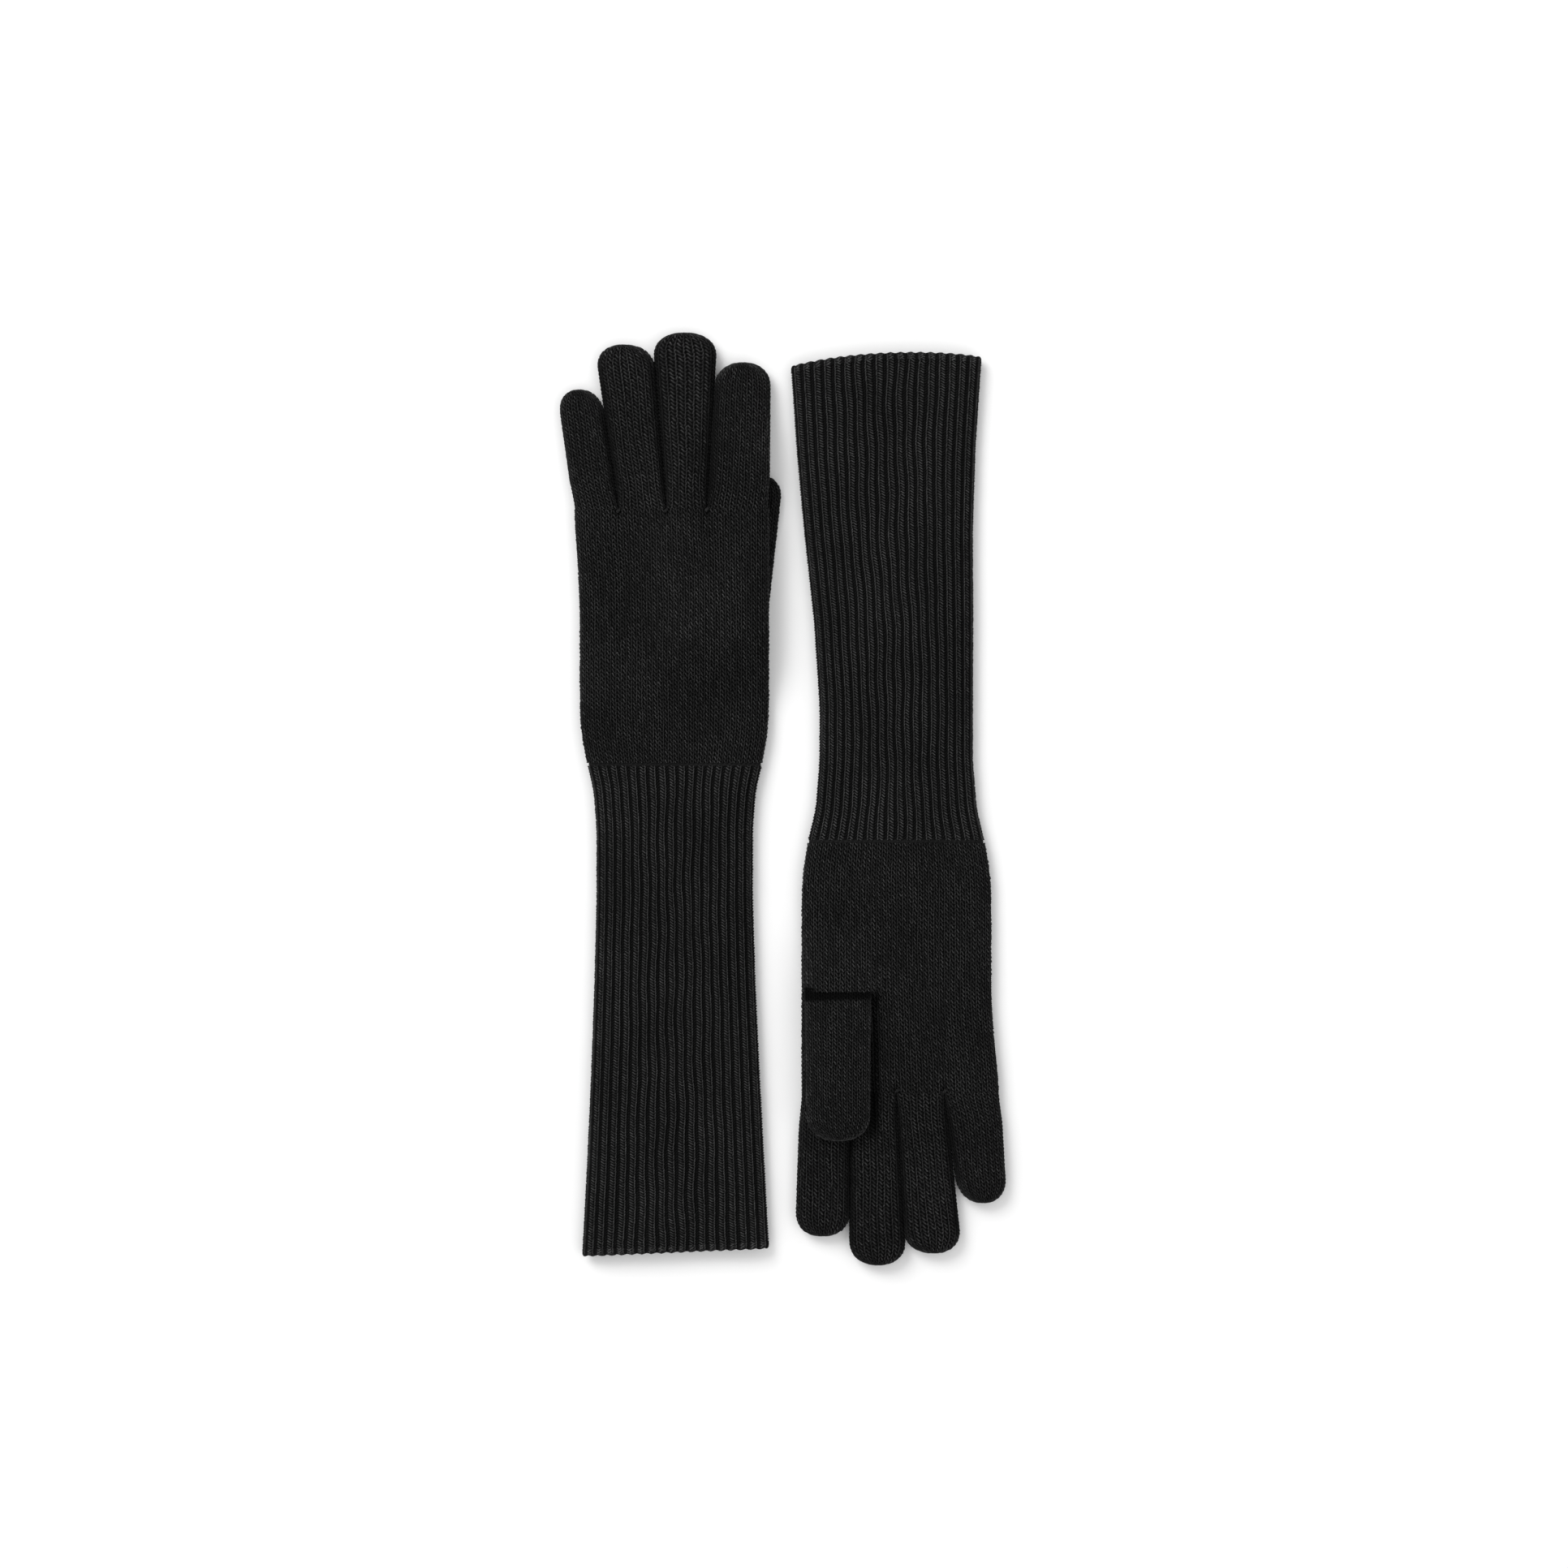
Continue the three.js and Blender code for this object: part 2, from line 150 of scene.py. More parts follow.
class KnitSizes(bpy.types.PropertyGroup):
    """Stitch sizes of the two gloves."""

    hand_course: length("Hand course", "Height of one row of stitches in the hand", 1.98)
    finger_course: length("Finger course", "Height of one row of stitches in a finger", 1.81)
    cuff_course: length("Cuff course", "Height of one row of ribbing below the wrist", 1.39)
    edge_course: length("Edge course", "Height of one row of ribbing at the cuff's opening", 1.23)
    plain_relief: length("Plain relief", "How far a plain stitch stands above its gaps", 1.2)
    rib_relief: length("Rib relief", "Depth of the furrow between two ribs", 1.9)
    across: bpy.props.IntProperty(
        name="Points across", description="Mesh points across one plain stitch", default=8, min=4
    )
    along: bpy.props.IntProperty(
        name="Points along", description="Mesh points along one plain stitch", default=6, min=3
    )


class KnitColours(bpy.types.PropertyGroup):
    """Colours of the yarn and the table."""

    plain: colour("Plain yarn", "Black wool of the hands and fingers", "#292929")
    rib: colour("Rib yarn", "Black wool of the ribbed cuffs", "#2d2d2d")
    closing: colour("Closing yarn", "Black yarn of seams, knots and closing stitches", "#1e1e1e")
    table: colour("Table", "White paper that the gloves lie on", "#fbfbfb")


def sizes():
    return bpy.context.scene.knit_sizes


def colours():
    return bpy.context.scene.knit_colours


# ---------------------------------------------------------------- gloves and their outlines


class Glove:
    """One glove: its place in the row frame, and outlines read from the CAD solids."""

    def __init__(self, side, turn):
        self.side, self.turn = side, turn
        low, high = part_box(f"{side}_wrist_seam")
        centre = (low + high) / (2 * MM)
        self.origin = np.array([centre.x, centre.y])
        self.palm_up = side == "right"
        self.knuckles = self.extent(f"{side}_hand")[1]
        self.thumb_base = self.extent(f"{side}_thumb")[0]

    def to_row(self, points):
        """Points from the glove's frame in millimetres to the row frame in metres."""
        out = np.array(points, float)
        out[..., :2] = out[..., :2] * self.turn + self.origin
        return out * MM

    def corners(self, node):
        """A CAD node's vertices in the glove's frame."""
        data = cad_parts[node].data
        co = np.zeros(len(data.vertices) * 3)
        data.vertices.foreach_get("co", co)
        co = co.reshape(-1, 3) / MM
        co[:, :2] = (co[:, :2] - self.origin) * self.turn
        return co

    def extent(self, node):
        """Where a CAD node begins and ends along the glove."""
        y = self.corners(node)[:, 1]
        return y.min(), y.max()

    def outline(self, node, places):
        """Left edge, right edge, lowest and highest point of a CAD node at these places."""
        co, data = self.corners(node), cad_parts[node].data
        ends = np.zeros(len(data.edges) * 2, int)
        data.edges.foreach_get("vertices", ends)
        a, b = co[ends.reshape(-1, 2)].transpose(1, 0, 2)
        rows = []
        for y in places:
            cut = (a[:, 1] - y) * (b[:, 1] - y) <= 0
            cut &= np.abs(a[:, 1] - b[:, 1]) > 1e-6
            t = ((y - a[cut, 1]) / (b[cut, 1] - a[cut, 1]))[:, None]
            at = a[cut] + t * (b[cut] - a[cut])
            rows.append([at[:, 0].min(), at[:, 0].max(), at[:, 2].min(), at[:, 2].max()])
        return np.array(rows).T

    def lift(self, x, y):
        """How far the tucked thumb holds a back-up glove off the table."""
        if self.palm_up:
            return np.zeros(np.broadcast(x, y).shape)
        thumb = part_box(f"{self.side}_thumb")[1].z / MM + THUMB_GAP
        return thumb * rise(*LIFT_ACROSS, x) * rise(*LIFT_ALONG, y) * (1 - rise(*DROOP, y))


def rise(start, end, value):
    """0 up to start, 1 from end, and a smooth curve between them."""
    t = np.clip((value - start) / (end - start), 0, 1)
    return t * t * (3 - 2 * t)


def smoothed(values, window):
    """A moving average that leaves straight ends where they are."""
    pad = window // 2
    before = 2 * values[0] - values[pad:0:-1]
    after = 2 * values[-1] - values[-2 : -pad - 2 : -1]
    padded = np.concatenate([before, values, after])
    return np.convolve(padded, np.ones(2 * pad + 1) / (2 * pad + 1), "valid")


def edges_of(glove, node, start, end, places):
    """Smooth left and right edges of a CAD node, read at fine steps between start and end."""
    steps = np.linspace(start, end, 121)
    left, right, _, _ = glove.outline(node, steps)
    window = max(3, int(len(steps) * 10 / abs(end - start)))
    left, right = smoothed(left, window), smoothed(right, window)
    order = np.argsort(steps)
    return (
        np.interp(places, steps[order], left[order]),
        np.interp(places, steps[order], right[order]),
    )


# ---------------------------------------------------------------- tubes


CORNER = np.linspace(0, math.pi / 2, 24)


def section(left, right, low, high, round_left, round_right, share):
    """One section of a flattened tube. share goes from 0 at the left edge over the top to 1
    at the right edge, and back along the bottom to 2, evenly by length."""
    half = (high - low) / 2
    fit = min(1.0, (right - left) / (round_left + round_right + 1e-9))
    rl, rr = round_left * fit, round_right * fit
    x = np.concatenate([left + rl * (1 - np.cos(CORNER)), right - rr * (1 - np.cos(CORNER[::-1]))])
    z = np.concatenate([half * np.sin(CORNER), half * np.sin(CORNER[::-1])])
    run = np.concatenate([[0], np.cumsum(np.hypot(np.diff(x), np.diff(z)))])
    at = np.where(share <= 1, share, 2 - share) * run[-1]
    sign = np.where(share <= 1, 1, -1)
    return np.stack([np.interp(at, run, x), (low + high) / 2 + sign * np.interp(at, run, z)], -1)


def tube(places, left, right, low, high, round_left, round_right, share):
    """A grid of points, a row for each place along the tube."""
    count = len(places)
    args = [np.broadcast_to(v, count) for v in (left, right, low, high, round_left, round_right)]
    grid = np.empty((count, len(share), 3))
    for i in range(count):
        xz = section(*(v[i] for v in args), share)
        grid[i, :, 0], grid[i, :, 1], grid[i, :, 2] = xz[:, 0], places[i], xz[:, 1]
    return grid


def normals_of(grid):
    """Outward normals of a grid that closes on itself across."""
    around = np.roll(grid, -1, 1) - np.roll(grid, 1, 1)
    along = np.gradient(grid, axis=0)
    normal = np.cross(around, along)
    size = np.linalg.norm(normal, axis=2, keepdims=True)
    normal /= np.maximum(size, 1e-9)
    middle = grid.mean(1, keepdims=True)
    if ((grid - middle) * normal).sum(2).mean() < 0:
        normal = -normal
    return normal


def grid_faces(rows, columns):
    """Quads of a grid that closes on itself across."""
    index = np.arange(rows * columns).reshape(rows, columns)
    after = np.roll(index, -1, 1)
    return np.stack([index[:-1], after[:-1], after[1:], index[1:]], -1).reshape(-1, 4)


def end_wall(ring):
    """Faces that close a ring whose top and bottom halves match point by point."""
    half = len(ring) // 2
    quads = [(ring[i], ring[-i], ring[-i - 1], ring[i + 1]) for i in range(1, half - 1)]
    caps = [(ring[0], ring[-1], ring[1]), (ring[half - 1], ring[half + 1], ring[half])]
    return np.array(quads), np.array(caps)


def new_object(name, points, faces, chart=None, painted_stitch_shading=None):
    """A smooth-shaded object from points in metres and arrays of faces. The last argument is how near
    each point is to the top of its stitch, from 0 to 1, and is painted as shade in the gaps and
    highlight on the tops. Without stitches it is 0.8."""
    data = bpy.data.meshes.new(name)
    data.vertices.add(len(points))
    data.vertices.foreach_set("co", np.asarray(points, np.float32).ravel())
    faces = [f for f in faces if len(f)]
    loops = np.concatenate([f.ravel() for f in faces]).astype(np.int32)
    counts = np.concatenate([np.full(len(f), f.shape[1]) for f in faces])
    data.loops.add(len(loops))
    data.loops.foreach_set("vertex_index", loops)
    data.polygons.add(len(counts))
    starts = np.concatenate([[0], np.cumsum(counts)[:-1]]).astype(np.int32)
    data.polygons.foreach_set("loop_start", starts)
    if chart is not None:
        layer = data.uv_layers.new(name="OFBake")
        layer.uv.foreach_set("vector", np.asarray(chart, np.float32)[loops].ravel())
    data.update(calc_edges=True)
    painted_stitch_shading = np.full(len(points), 0.8) if painted_stitch_shading is None else painted_stitch_shading
    layer = data.attributes.new(PAINTED_STITCH_SHADING, "FLOAT", "POINT")
    layer.data.foreach_set("value", np.clip(painted_stitch_shading, 0, 1).astype(np.float32))
    data.shade_smooth()
    piece = bpy.data.objects.new(name, data)
    bpy.context.scene.collection.objects.link(piece)
    return piece


def outward(points, faces):
    """The same faces, turned over if they enclose a negative volume."""
    halves = [f[:, [0, 2, 3]] for f in faces if f.shape[1] == 4]
    tris = np.concatenate([f[:, :3] for f in faces] + halves)
    a, b, c = (points[tris[:, i]] for i in range(3))
    if (a * np.cross(b, c)).sum() < 0:
        return [f[:, ::-1] for f in faces]
    return faces


def unrolled(grid, share):
    """Flat map coordinates for a grid: length around by length along, inside 0 to 1."""
    along = np.concatenate([[0], np.cumsum(np.linalg.norm(np.diff(grid.mean(1), axis=0), axis=1))])
    around = share / 2 * np.linalg.norm(np.diff(grid, axis=1), axis=2).sum(1).max()
    u, v = np.broadcast_arrays(around[None, :], along[:, None])
    scale = 0.98 / max(u.max(), v.max())
    return np.stack([0.01 + u * scale, 0.01 + v * scale], -1).reshape(-1, 2)


# ---------------------------------------------------------------- stitches


def scatter(a, b, seed):
    """A fixed value from -1 to 1 for each stitch, by its column and row."""
    value = np.sin(np.floor(a) * 12.9898 + np.floor(b) * 78.233 + seed * 37.719) * 43758.5453
    return 2 * (value - np.floor(value)) - 1


def leg(across, row, bottom, top, half_width, reach):
    """Height of one leg of every stitch in a column of stitches. The leg runs from bottom to
    top across the column, is reach rows longer than its own row at both ends, and lies over
    the leg of the row below it."""
    height = np.zeros(np.broadcast(across, row).shape)
    for step in (-1, 0, 1):
        run = (row - step + reach) / (1 + 2 * reach)
        inside = np.clip(run, 0, 1)
        centre = bottom + (top - bottom) * inside
        off = (across - centre) / half_width
        cap = np.clip(1 - (2 * run - 1) ** 4, 0, 1)
        body = np.sqrt(np.clip(1 - off * off, 0, 1) * cap)
        height = np.maximum(height, body * (0.74 + 0.26 * inside))
    return height


def plain_stitches(wale, course):
    """Stockinette: V-shaped stitches with a broad slanting left leg and a thin upright
    right one, as a yarn spun hard in one direction gives."""
    course = course + 0.3 * scatter(wale, 0, 7)
    across, row = wale - np.floor(wale), course - np.floor(course)
    shift = 0.08 * scatter(wale, course, 1)
    gain = 0.97 + 0.2 * scatter(wale, course, 2)
    left = leg(across, row, 0.60 + shift, 0.10 + shift, 0.155, 0.08)
    right = leg(across, row, 0.76 + shift / 2, 0.90 + shift / 2, 0.105, 0.12)
    return np.maximum(left * gain, right * (0.88 + 0.14 * scatter(wale, course / 5, 3)))


def rib_stitches(wale, course):
    """One by one rib: a raised column of plain stitches, then a furrow of purl ones."""
    period = wale / 2
    course = course + 0.3 * scatter(period, 0, 8)
    across, row = period - np.floor(period), course - np.floor(course)
    shift = 0.04 * scatter(period, course, 4)
    gain = 0.97 + 0.2 * scatter(period, course, 5)
    column = rise(-0.06, 0.06, across) * (1 - rise(0.66, 0.76, across)) + rise(0.94, 1.06, across)
    left = leg(across, row, 0.47 + shift, 0.04 + shift, 0.115, 0.08)
    right = leg(across, row, 0.55 + shift / 2, 0.64 + shift / 2, 0.065, 0.12)
    purl = leg(across, row, 0.78, 0.93, 0.09, 0.0)
    stitches = np.maximum(left * gain, right * (0.92 + 0.14 * scatter(period, course / 3, 6)))
    return np.clip(0.2 * column + 0.8 * stitches * column, 0.3 * purl, 1.2)


def wander(wale, course, seed):
    """Columns of stitches never run quite straight."""
    return 0.10 * np.sin(course * 0.11 + wale * 0.23 + seed) + 0.07 * np.sin(
        course * 0.27 - wale * 0.41 + 2.1 * seed
    )


# Soft hollows where the cloth sinks: place across and along, two radii and depth, in millimetres
HOLLOWS = {
    "left": [(5, 6, 26, 20, 1.7), (-22, 52, 20, 30, 0.9), (18, 92, 18, 22, 0.8), (-30, 100, 14, 24, 0.7),
             (-8, -70, 16, 44, 0.9), (16, -150, 20, 40, 0.8), (-22, -190, 16, 30, 0.7)],
    "right": [(7, 8, 26, 20, 1.7), (-20, 50, 18, 28, 0.9), (-24, 98, 16, 26, 0.8),
              (10, -74, 16, 44, 0.9), (-14, -150, 20, 40, 0.8), (20, -186, 16, 30, 0.7)],
}
SETTLES = 0.5  # the whole upper face sinks by this much


def settled(glove, grid):
    """Lets the upper face of a flattened tube sink and swell a little, as soft cloth does."""
    x, y, z = grid[..., 0], grid[..., 1], grid[..., 2]
    low, high = z.min(1, keepdims=True), z.max(1, keepdims=True)
    upper = rise(0.0, 1.0, (z - (low + high) / 2) / np.maximum((high - low) / 2, 1e-6))
    sink = np.zeros_like(x)
    for cx, cy, rx, ry, depth in HOLLOWS[glove.side]:
        sink += depth * np.exp(-(((x - cx) / rx) ** 2) - ((y - cy) / ry) ** 2)
    waves = 0.28 * np.sin(x / 9.5 + y / 31 + glove.turn)
    waves = waves + 0.25 * np.sin(y / 17 - x / 23 + 2 * glove.turn)
    out = grid.copy()
    out[..., 2] = z - upper * (sink + SETTLES + waves)
    return out


def raised(grid, height, relief):
    """Moves each point in by what its stitch lacks of its full height. Stitches are drawn
    flatter where the cloth turns over at its folds."""
    normals = normals_of(grid)
    drawn = 0.4 + 0.6 * np.abs(normals[..., 2])
    return grid - normals * (relief * (1 - height) * drawn)[..., None]


# ---------------------------------------------------------------- materials


def add_node(tree, kind, inputs=(), **settings):
    """Adds a node with its settings. inputs maps socket names to values or output sockets."""
    node = tree.nodes.new(kind)
    for key, value in settings.items():
        setattr(node, key, value)
    for key, value in dict(inputs).items():
        if isinstance(value, bpy.types.NodeSocket):
            tree.links.new(value, node.inputs[key])
        else:
            node.inputs[key].default_value = value
    return node


def wool(name, tint, painted_highlight, fibre_mm, cloud_mm):
    """Black wool, spun and knitted. Matt fibres scatter the light, so that grazing edges
    show a faint grey bloom, and single fibres break up each loop of yarn."""
    made = bpy.data.materials.new(name)
    made.use_nodes = True
    tree = made.node_tree
    tree.nodes.clear()
    place = add_node(tree, "ShaderNodeTexCoord").outputs["Object"]
    painted_stitch_shading = add_node(tree, "ShaderNodeAttribute", attribute_name=PAINTED_STITCH_SHADING).outputs["Fac"]
    # Painted shade and highlight: by its height in its stitch, the yarn is coloured near black in the
    # gaps and lighter than its tint on the tops
    ramp = add_node(tree, "ShaderNodeValToRGB", {"Fac": painted_stitch_shading})
    stops = ramp.color_ramp.elements
    stops.new(0.55)
    for stop, height, share in zip(stops, (0.05, 0.55, 1.0), (0.05, 0.62, painted_highlight)):
        stop.position, stop.color = height, (*[share * c for c in tint], 1)
    clouds = add_node(
        tree,
        "ShaderNodeTexNoise",
        {"Vector": place, "Scale": 1 / (cloud_mm * MM), "Detail": 2.0, "Roughness": 0.5},
    )
    fibres = add_node(
        tree,
        "ShaderNodeTexNoise",
        {"Vector": place, "Scale": 1 / (fibre_mm * MM), "Detail": 3.0, "Roughness": 0.6},
    )
    whole = {"From Min": 0.3, "From Max": 0.7}  # most of a noise's values lie between these
    patchy = add_node(
        tree,
        "ShaderNodeMapRange",
        {"Value": clouds.outputs["Fac"], **whole, "To Min": 0.82, "To Max": 1.18},
    )
    hairy = add_node(
        tree,
        "ShaderNodeMapRange",
        {"Value": fibres.outputs["Fac"], **whole, "To Min": 0.45, "To Max": 1.55},
    )
    both = {0: patchy.outputs["Result"], 1: hairy.outputs["Result"]}
    uneven = add_node(tree, "ShaderNodeMath", both, operation="MULTIPLY")
    tinted = {0: ramp.outputs["Color"], "Scale": uneven.outputs[0]}
    shaded = add_node(tree, "ShaderNodeVectorMath", tinted, operation="SCALE")
    hairs = {"Strength": 0.35, "Distance": 0.12 * MM, "Height": fibres.outputs["Fac"]}
    bump = add_node(tree, "ShaderNodeBump", hairs)
    shader = add_node(
        tree,
        "ShaderNodeBsdfPrincipled",
        {
            "Base Color": shaded.outputs[0],
            "Roughness": 0.88,
            "IOR": 1.54,
            "Specular IOR Level": 0.06,
            "Sheen Weight": 0.03,
            "Sheen Roughness": 0.5,
            "Sheen Tint": (0.8, 0.8, 0.82, 1.0),
            "Normal": bump.outputs["Normal"],
        },
    )
    add_node(tree, "ShaderNodeOutputMaterial", {"Surface": shader.outputs[0]})
    return made


def material(kind):
    """The wool for a slot, made once."""
    # Each entry: name, tint, painted highlight on the stitch tops, fibre size and cloud size
    made = {
        # Merino, two-ply, knitted plain: soft loops of 0.9 mm yarn
        "plain_knit": ("Black merino wool, stockinette knit", colours().plain, 3.0, 0.6, 34),
        # The same yarn knitted in rib: sprung columns that hold their height
        "rib_knit": ("Black merino wool, one by one rib", colours().rib, 3.0, 0.6, 30),
        # The same yarn sewn or linked: tighter, a little darker, and with less painted highlight on its
        # tops
        "closing_yarn": ("Black merino yarn, linked and fastened", colours().closing, 1.8, 0.35, 20),
    }
    name, tint, painted_highlight, fibre_mm, cloud_mm = made[kind]
    return bpy.data.materials.get(name) or wool(name, tuple(tint), painted_highlight, fibre_mm, cloud_mm)


def finish_piece(piece, kind, nodes, body=None, bend=None):
    """Gives a piece its wool and hides the CAD nodes that it stands for. With a bend, its transform is
    only baked in; otherwise it is attached to its body.
    """
    piece.data.materials.append(material(kind))
    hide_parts(*nodes)
    if bend:
        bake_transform(piece)
    else:
        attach(piece, body)
    return piece


# ---------------------------------------------------------------- knitted pieces


def face_share(columns):
    """Even steps round a tube, half of them on each face."""
    return np.arange(2 * columns) / columns


def wide_tube(places, left, right, low, high, share, inset=0.0, width=CUFF_ROUND):
    """A cuff or hand, flattened between the heights of low and high and drawn in all round by
    inset. width is that of its rounded sides."""
    edges = left + inset - BLOOM, right - inset + BLOOM
    heights = low.z / MM + inset, high.z / MM - inset
    return tube(places, *edges, *heights, width, width, share)


def cuff_courses(glove, depth):
    """Rows of ribbing from the wrist down to a depth, as rows get shorter downwards."""
    full = -glove.extent(f"{glove.side}_cuff_welt")[0]
    top, edge = sizes().cuff_course / MM, sizes().edge_course / MM
    return depth / top + (1 / edge - 1 / top) * depth**2 / (2 * full)


def cuff_slant(glove, x):
    """The opening's edge, which does not lie quite square: how far it falls short."""
    middle, bow, slant = SLANT[glove.side]
    return middle + bow * np.abs(x / SLANT_HALF) ** 2.2 + slant * x / SLANT_HALF


def knit_cuff(glove):
    """The long cuff: a tube of ribbing, with the wrong side of its fabric inside."""
    side = glove.side
    start, end = glove.extent(f"{side}_cuff")
    low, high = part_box(f"{side}_cuff")
    edge = glove.extent(f"{side}_cuff_welt")[0]
    share = face_share(HALF_WALES * 7)
    rows = int(cuff_courses(glove, -edge) * 6)
    depth = np.linspace(0.6, -edge - 1.6, rows)
    left, right = edges_of(glove, f"{side}_cuff", start + 0.01, end - 0.01, -depth)
    grid = wide_tube(-depth, left, right, low, high, share)
    flare = rise(70, -edge, depth)[:, None]
    grid[..., 1] += flare * cuff_slant(glove, grid[..., 0])
    grid = settled(glove, grid)
    wale = np.broadcast_to(share * HALF_WALES, (rows, len(share)))
    course = np.broadcast_to(-cuff_courses(glove, depth)[:, None], wale.shape)
    free = np.sin(share * np.pi) ** 2  # columns are held at the folds
    wale = wale + 1.8 * wander(wale, course, glove.turn) * free
    height = rib_stitches(wale + 0.4, course)
    knit = raised(grid, height, sizes().rib_relief / MM)
    # The wrong side of the fabric, seen only in the opening
    inner = raised(grid, np.zeros_like(height), sizes().rib_relief / MM + 0.7)[::10, ::4]
    points = np.concatenate([knit.reshape(-1, 3), inner.reshape(-1, 3)])
    outer_faces = outward(knit.reshape(-1, 3), [grid_faces(rows, len(share))])[0]
    inner_faces = outward(inner.reshape(-1, 3), [grid_faces(*inner.shape[:2])])[0][:, ::-1]
    chart = [unrolled(grid, share) * 0.7, 0.72 + 0.27 * unrolled(inner, share[::4])]
    faces = [outer_faces, inner_faces + rows * len(share)]
    # The inside of the opening is painted with the shade of a stitch's lower part
    painted_stitch_shading = np.concatenate([height.ravel(), np.full(inner[..., 0].size, 0.3)])
    chart = np.concatenate(chart)
    piece = new_object(f"{side}_ribbed_cuff", glove.to_row(points), faces, chart, painted_stitch_shading)
    finish_piece(piece, "rib_knit", [f"{side}_cuff"], f"{side}_cuff")


def knit_welt(glove):
    """The rolled edge: the ribs turn over the opening and back inside it."""
    side = glove.side
    edge, _ = glove.extent(f"{side}_cuff_welt")
    low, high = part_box(f"{side}_cuff")
    share = face_share(HALF_WALES * 6)
    left, right, _, _ = glove.outline(f"{side}_cuff_welt", [edge + 1.0, edge + 2.6])
    # Rows down the outside, round the roll and back up the inside
    down, roll = np.linspace(-2.4, 0, 14), np.linspace(0, math.pi, 12)
    up = np.linspace(0, -16, 27)[1:]
    turns = np.concatenate([0 * down, roll, np.full(len(up), math.pi)])
    run = np.concatenate([down, 0 * roll, up])
    wale = share * HALF_WALES
    inset = ROLL_RADIUS * (1 - np.cos(turns)) + 0.25
    places = edge + 1.4 - run - ROLL_RADIUS * np.sin(turns)
    sides = left.mean(), right.mean()
    grid = wide_tube(places, *sides, low, high, share, inset, CUFF_ROUND - inset)
    grid[..., 1] += cuff_slant(glove, grid[..., 0])
    grid = settled(glove, grid)
    # The ribs stand out round the roll and make a scalloped edge
    rib = 0.5 + 0.5 * np.cos((wale + 0.4) * math.pi - 0.6 * math.pi)
    scallop = rib[None, :] * np.sin(turns).clip(0, 1)[:, None]
    grid[..., 1] += 0.5 * (1 - scallop) * (turns > 0.01)[:, None] * (turns < 3.1)[:, None]
    over = np.cumsum(np.hypot(np.diff(places), ROLL_RADIUS * np.diff(turns)))
    over = np.concatenate([[0], over])
    rows = np.broadcast_to((over * MM / sizes().edge_course)[:, None], grid.shape[:2])
    ribbed = rib_stitches(np.broadcast_to(wale + 0.4, rows.shape), rows)
    # Rows inside the opening get a flat height of 0.4: drawn back from the roll, and painted with the
    # shade of a stitch's lower part
    height = np.where((turns < 3.1)[:, None], 0.25 * rib[None, :] + 0.75 * ribbed, 0.4)
    knit = grid.copy()
    off = (low.z + high.z) / (2 * MM) - grid[..., 2]
    knit[..., 2] += np.sign(off) * 1.3 * (1 - height) * np.minimum(1, np.abs(off) / 2)
    points, chart = glove.to_row(knit.reshape(-1, 3)), unrolled(grid, share)
    piece = new_object(f"{side}_cuff_edge", points, facing_out(grid), chart, height.ravel())
    finish_piece(piece, "rib_knit", [f"{side}_cuff_welt"], f"{side}_cuff")


def facing_out(grid):
    """The grid's faces, turned so that its first rows face away from its middle."""
    faces = grid_faces(*grid.shape[:2])
    normal = np.cross(grid[0, 1] - grid[0, 0], grid[1, 0] - grid[0, 0])
    return [faces if normal @ (grid[0, 0] - grid[0].mean(0)) > 0 else faces[:, ::-1]]


def knit_wrist_seam(glove):
    """The linked course where the ribbing meets the plain knitting: a cord of small loops."""
    side = glove.side
    start, end = glove.extent(f"{side}_wrist_seam")
    low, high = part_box(f"{side}_wrist_seam")
    share = face_share(HALF_WALES * 8)
    places = np.linspace(start - 0.9, end + 0.9, 22)
    left, right, _, _ = glove.outline(f"{side}_wrist_seam", [start + 0.5])
    bow = np.sin(np.linspace(0, math.pi, len(places))) ** 0.6
    inset = 1.5 - 0.55 * bow
    grid = settled(glove, wide_tube(places, left, right, low, high, share, inset))
    wale = np.broadcast_to(share * HALF_WALES, grid.shape[:2])
    along = np.broadcast_to(np.linspace(0, 1, len(places))[:, None], wale.shape)
    loops = leg(along, wale - np.floor(wale), 0.30, 0.70, 0.34, 0.25)
    points = glove.to_row(raised(grid, 0.2 + 0.8 * loops, 0.8).reshape(-1, 3))
    chart, painted_stitch_shading = unrolled(grid, share), 0.7 * loops.ravel()
    piece = new_object(f"{side}_wrist_linking", points, facing_out(grid), chart, painted_stitch_shading)
    finish_piece(piece, "closing_yarn", [f"{side}_wrist_seam"], f"{side}_cuff")


def gusset(glove, x, y):
    """How far the palm rises over the base of the thumb."""
    base = glove.thumb_base
    left, right, low, high = glove.outline(f"{glove.side}_thumb", [base + 2])
    full = (high - low)[0] + 0.3
    climb = rise(base - 34, base - 5, y) * (1 - rise(base + 1.2, base + 3.2, y))
    return full * climb * rise(left[0] - 9, left[0] + 5, x)


def thumb_trough(glove, x, y):
    """How deeply the palm sinks beside a thumb folded over it, from 0 to 1."""
    if not glove.palm_up:
        return np.zeros_like(x)
    base, tip = glove.thumb_base, tip_of(glove, "thumb")
    left, _, _, _ = glove.outline(f"{glove.side}_thumb", [base + 2])
    beside = np.exp(-(((x - left[0] + 0.6) / TROUGH_WIDTH) ** 2))
    return beside * (rise(base + 0.5, base + 5, y) * (1 - rise(tip - 12, tip + 4, y)))


def crotches(glove):
    """Where two fingers part, across the knuckle line."""
    at = np.array([glove.knuckles + 1.0])
    pairs = [(finger_edges(glove, one, at), finger_edges(glove, two, at)) for one, two in CROTCHES]
    return [(a[1][0] + b[0][0]) / 2 for a, b in pairs]


def bend_at(glove, before, after, start, end, z):
    """What a fold needs: the bodies before and after it, and where it starts and ends."""
    ends = [Vector(glove.to_row([0, y, z])) for y in (start, end)]
    return [f"{glove.side}_{before}", f"{glove.side}_{after}", *ends]


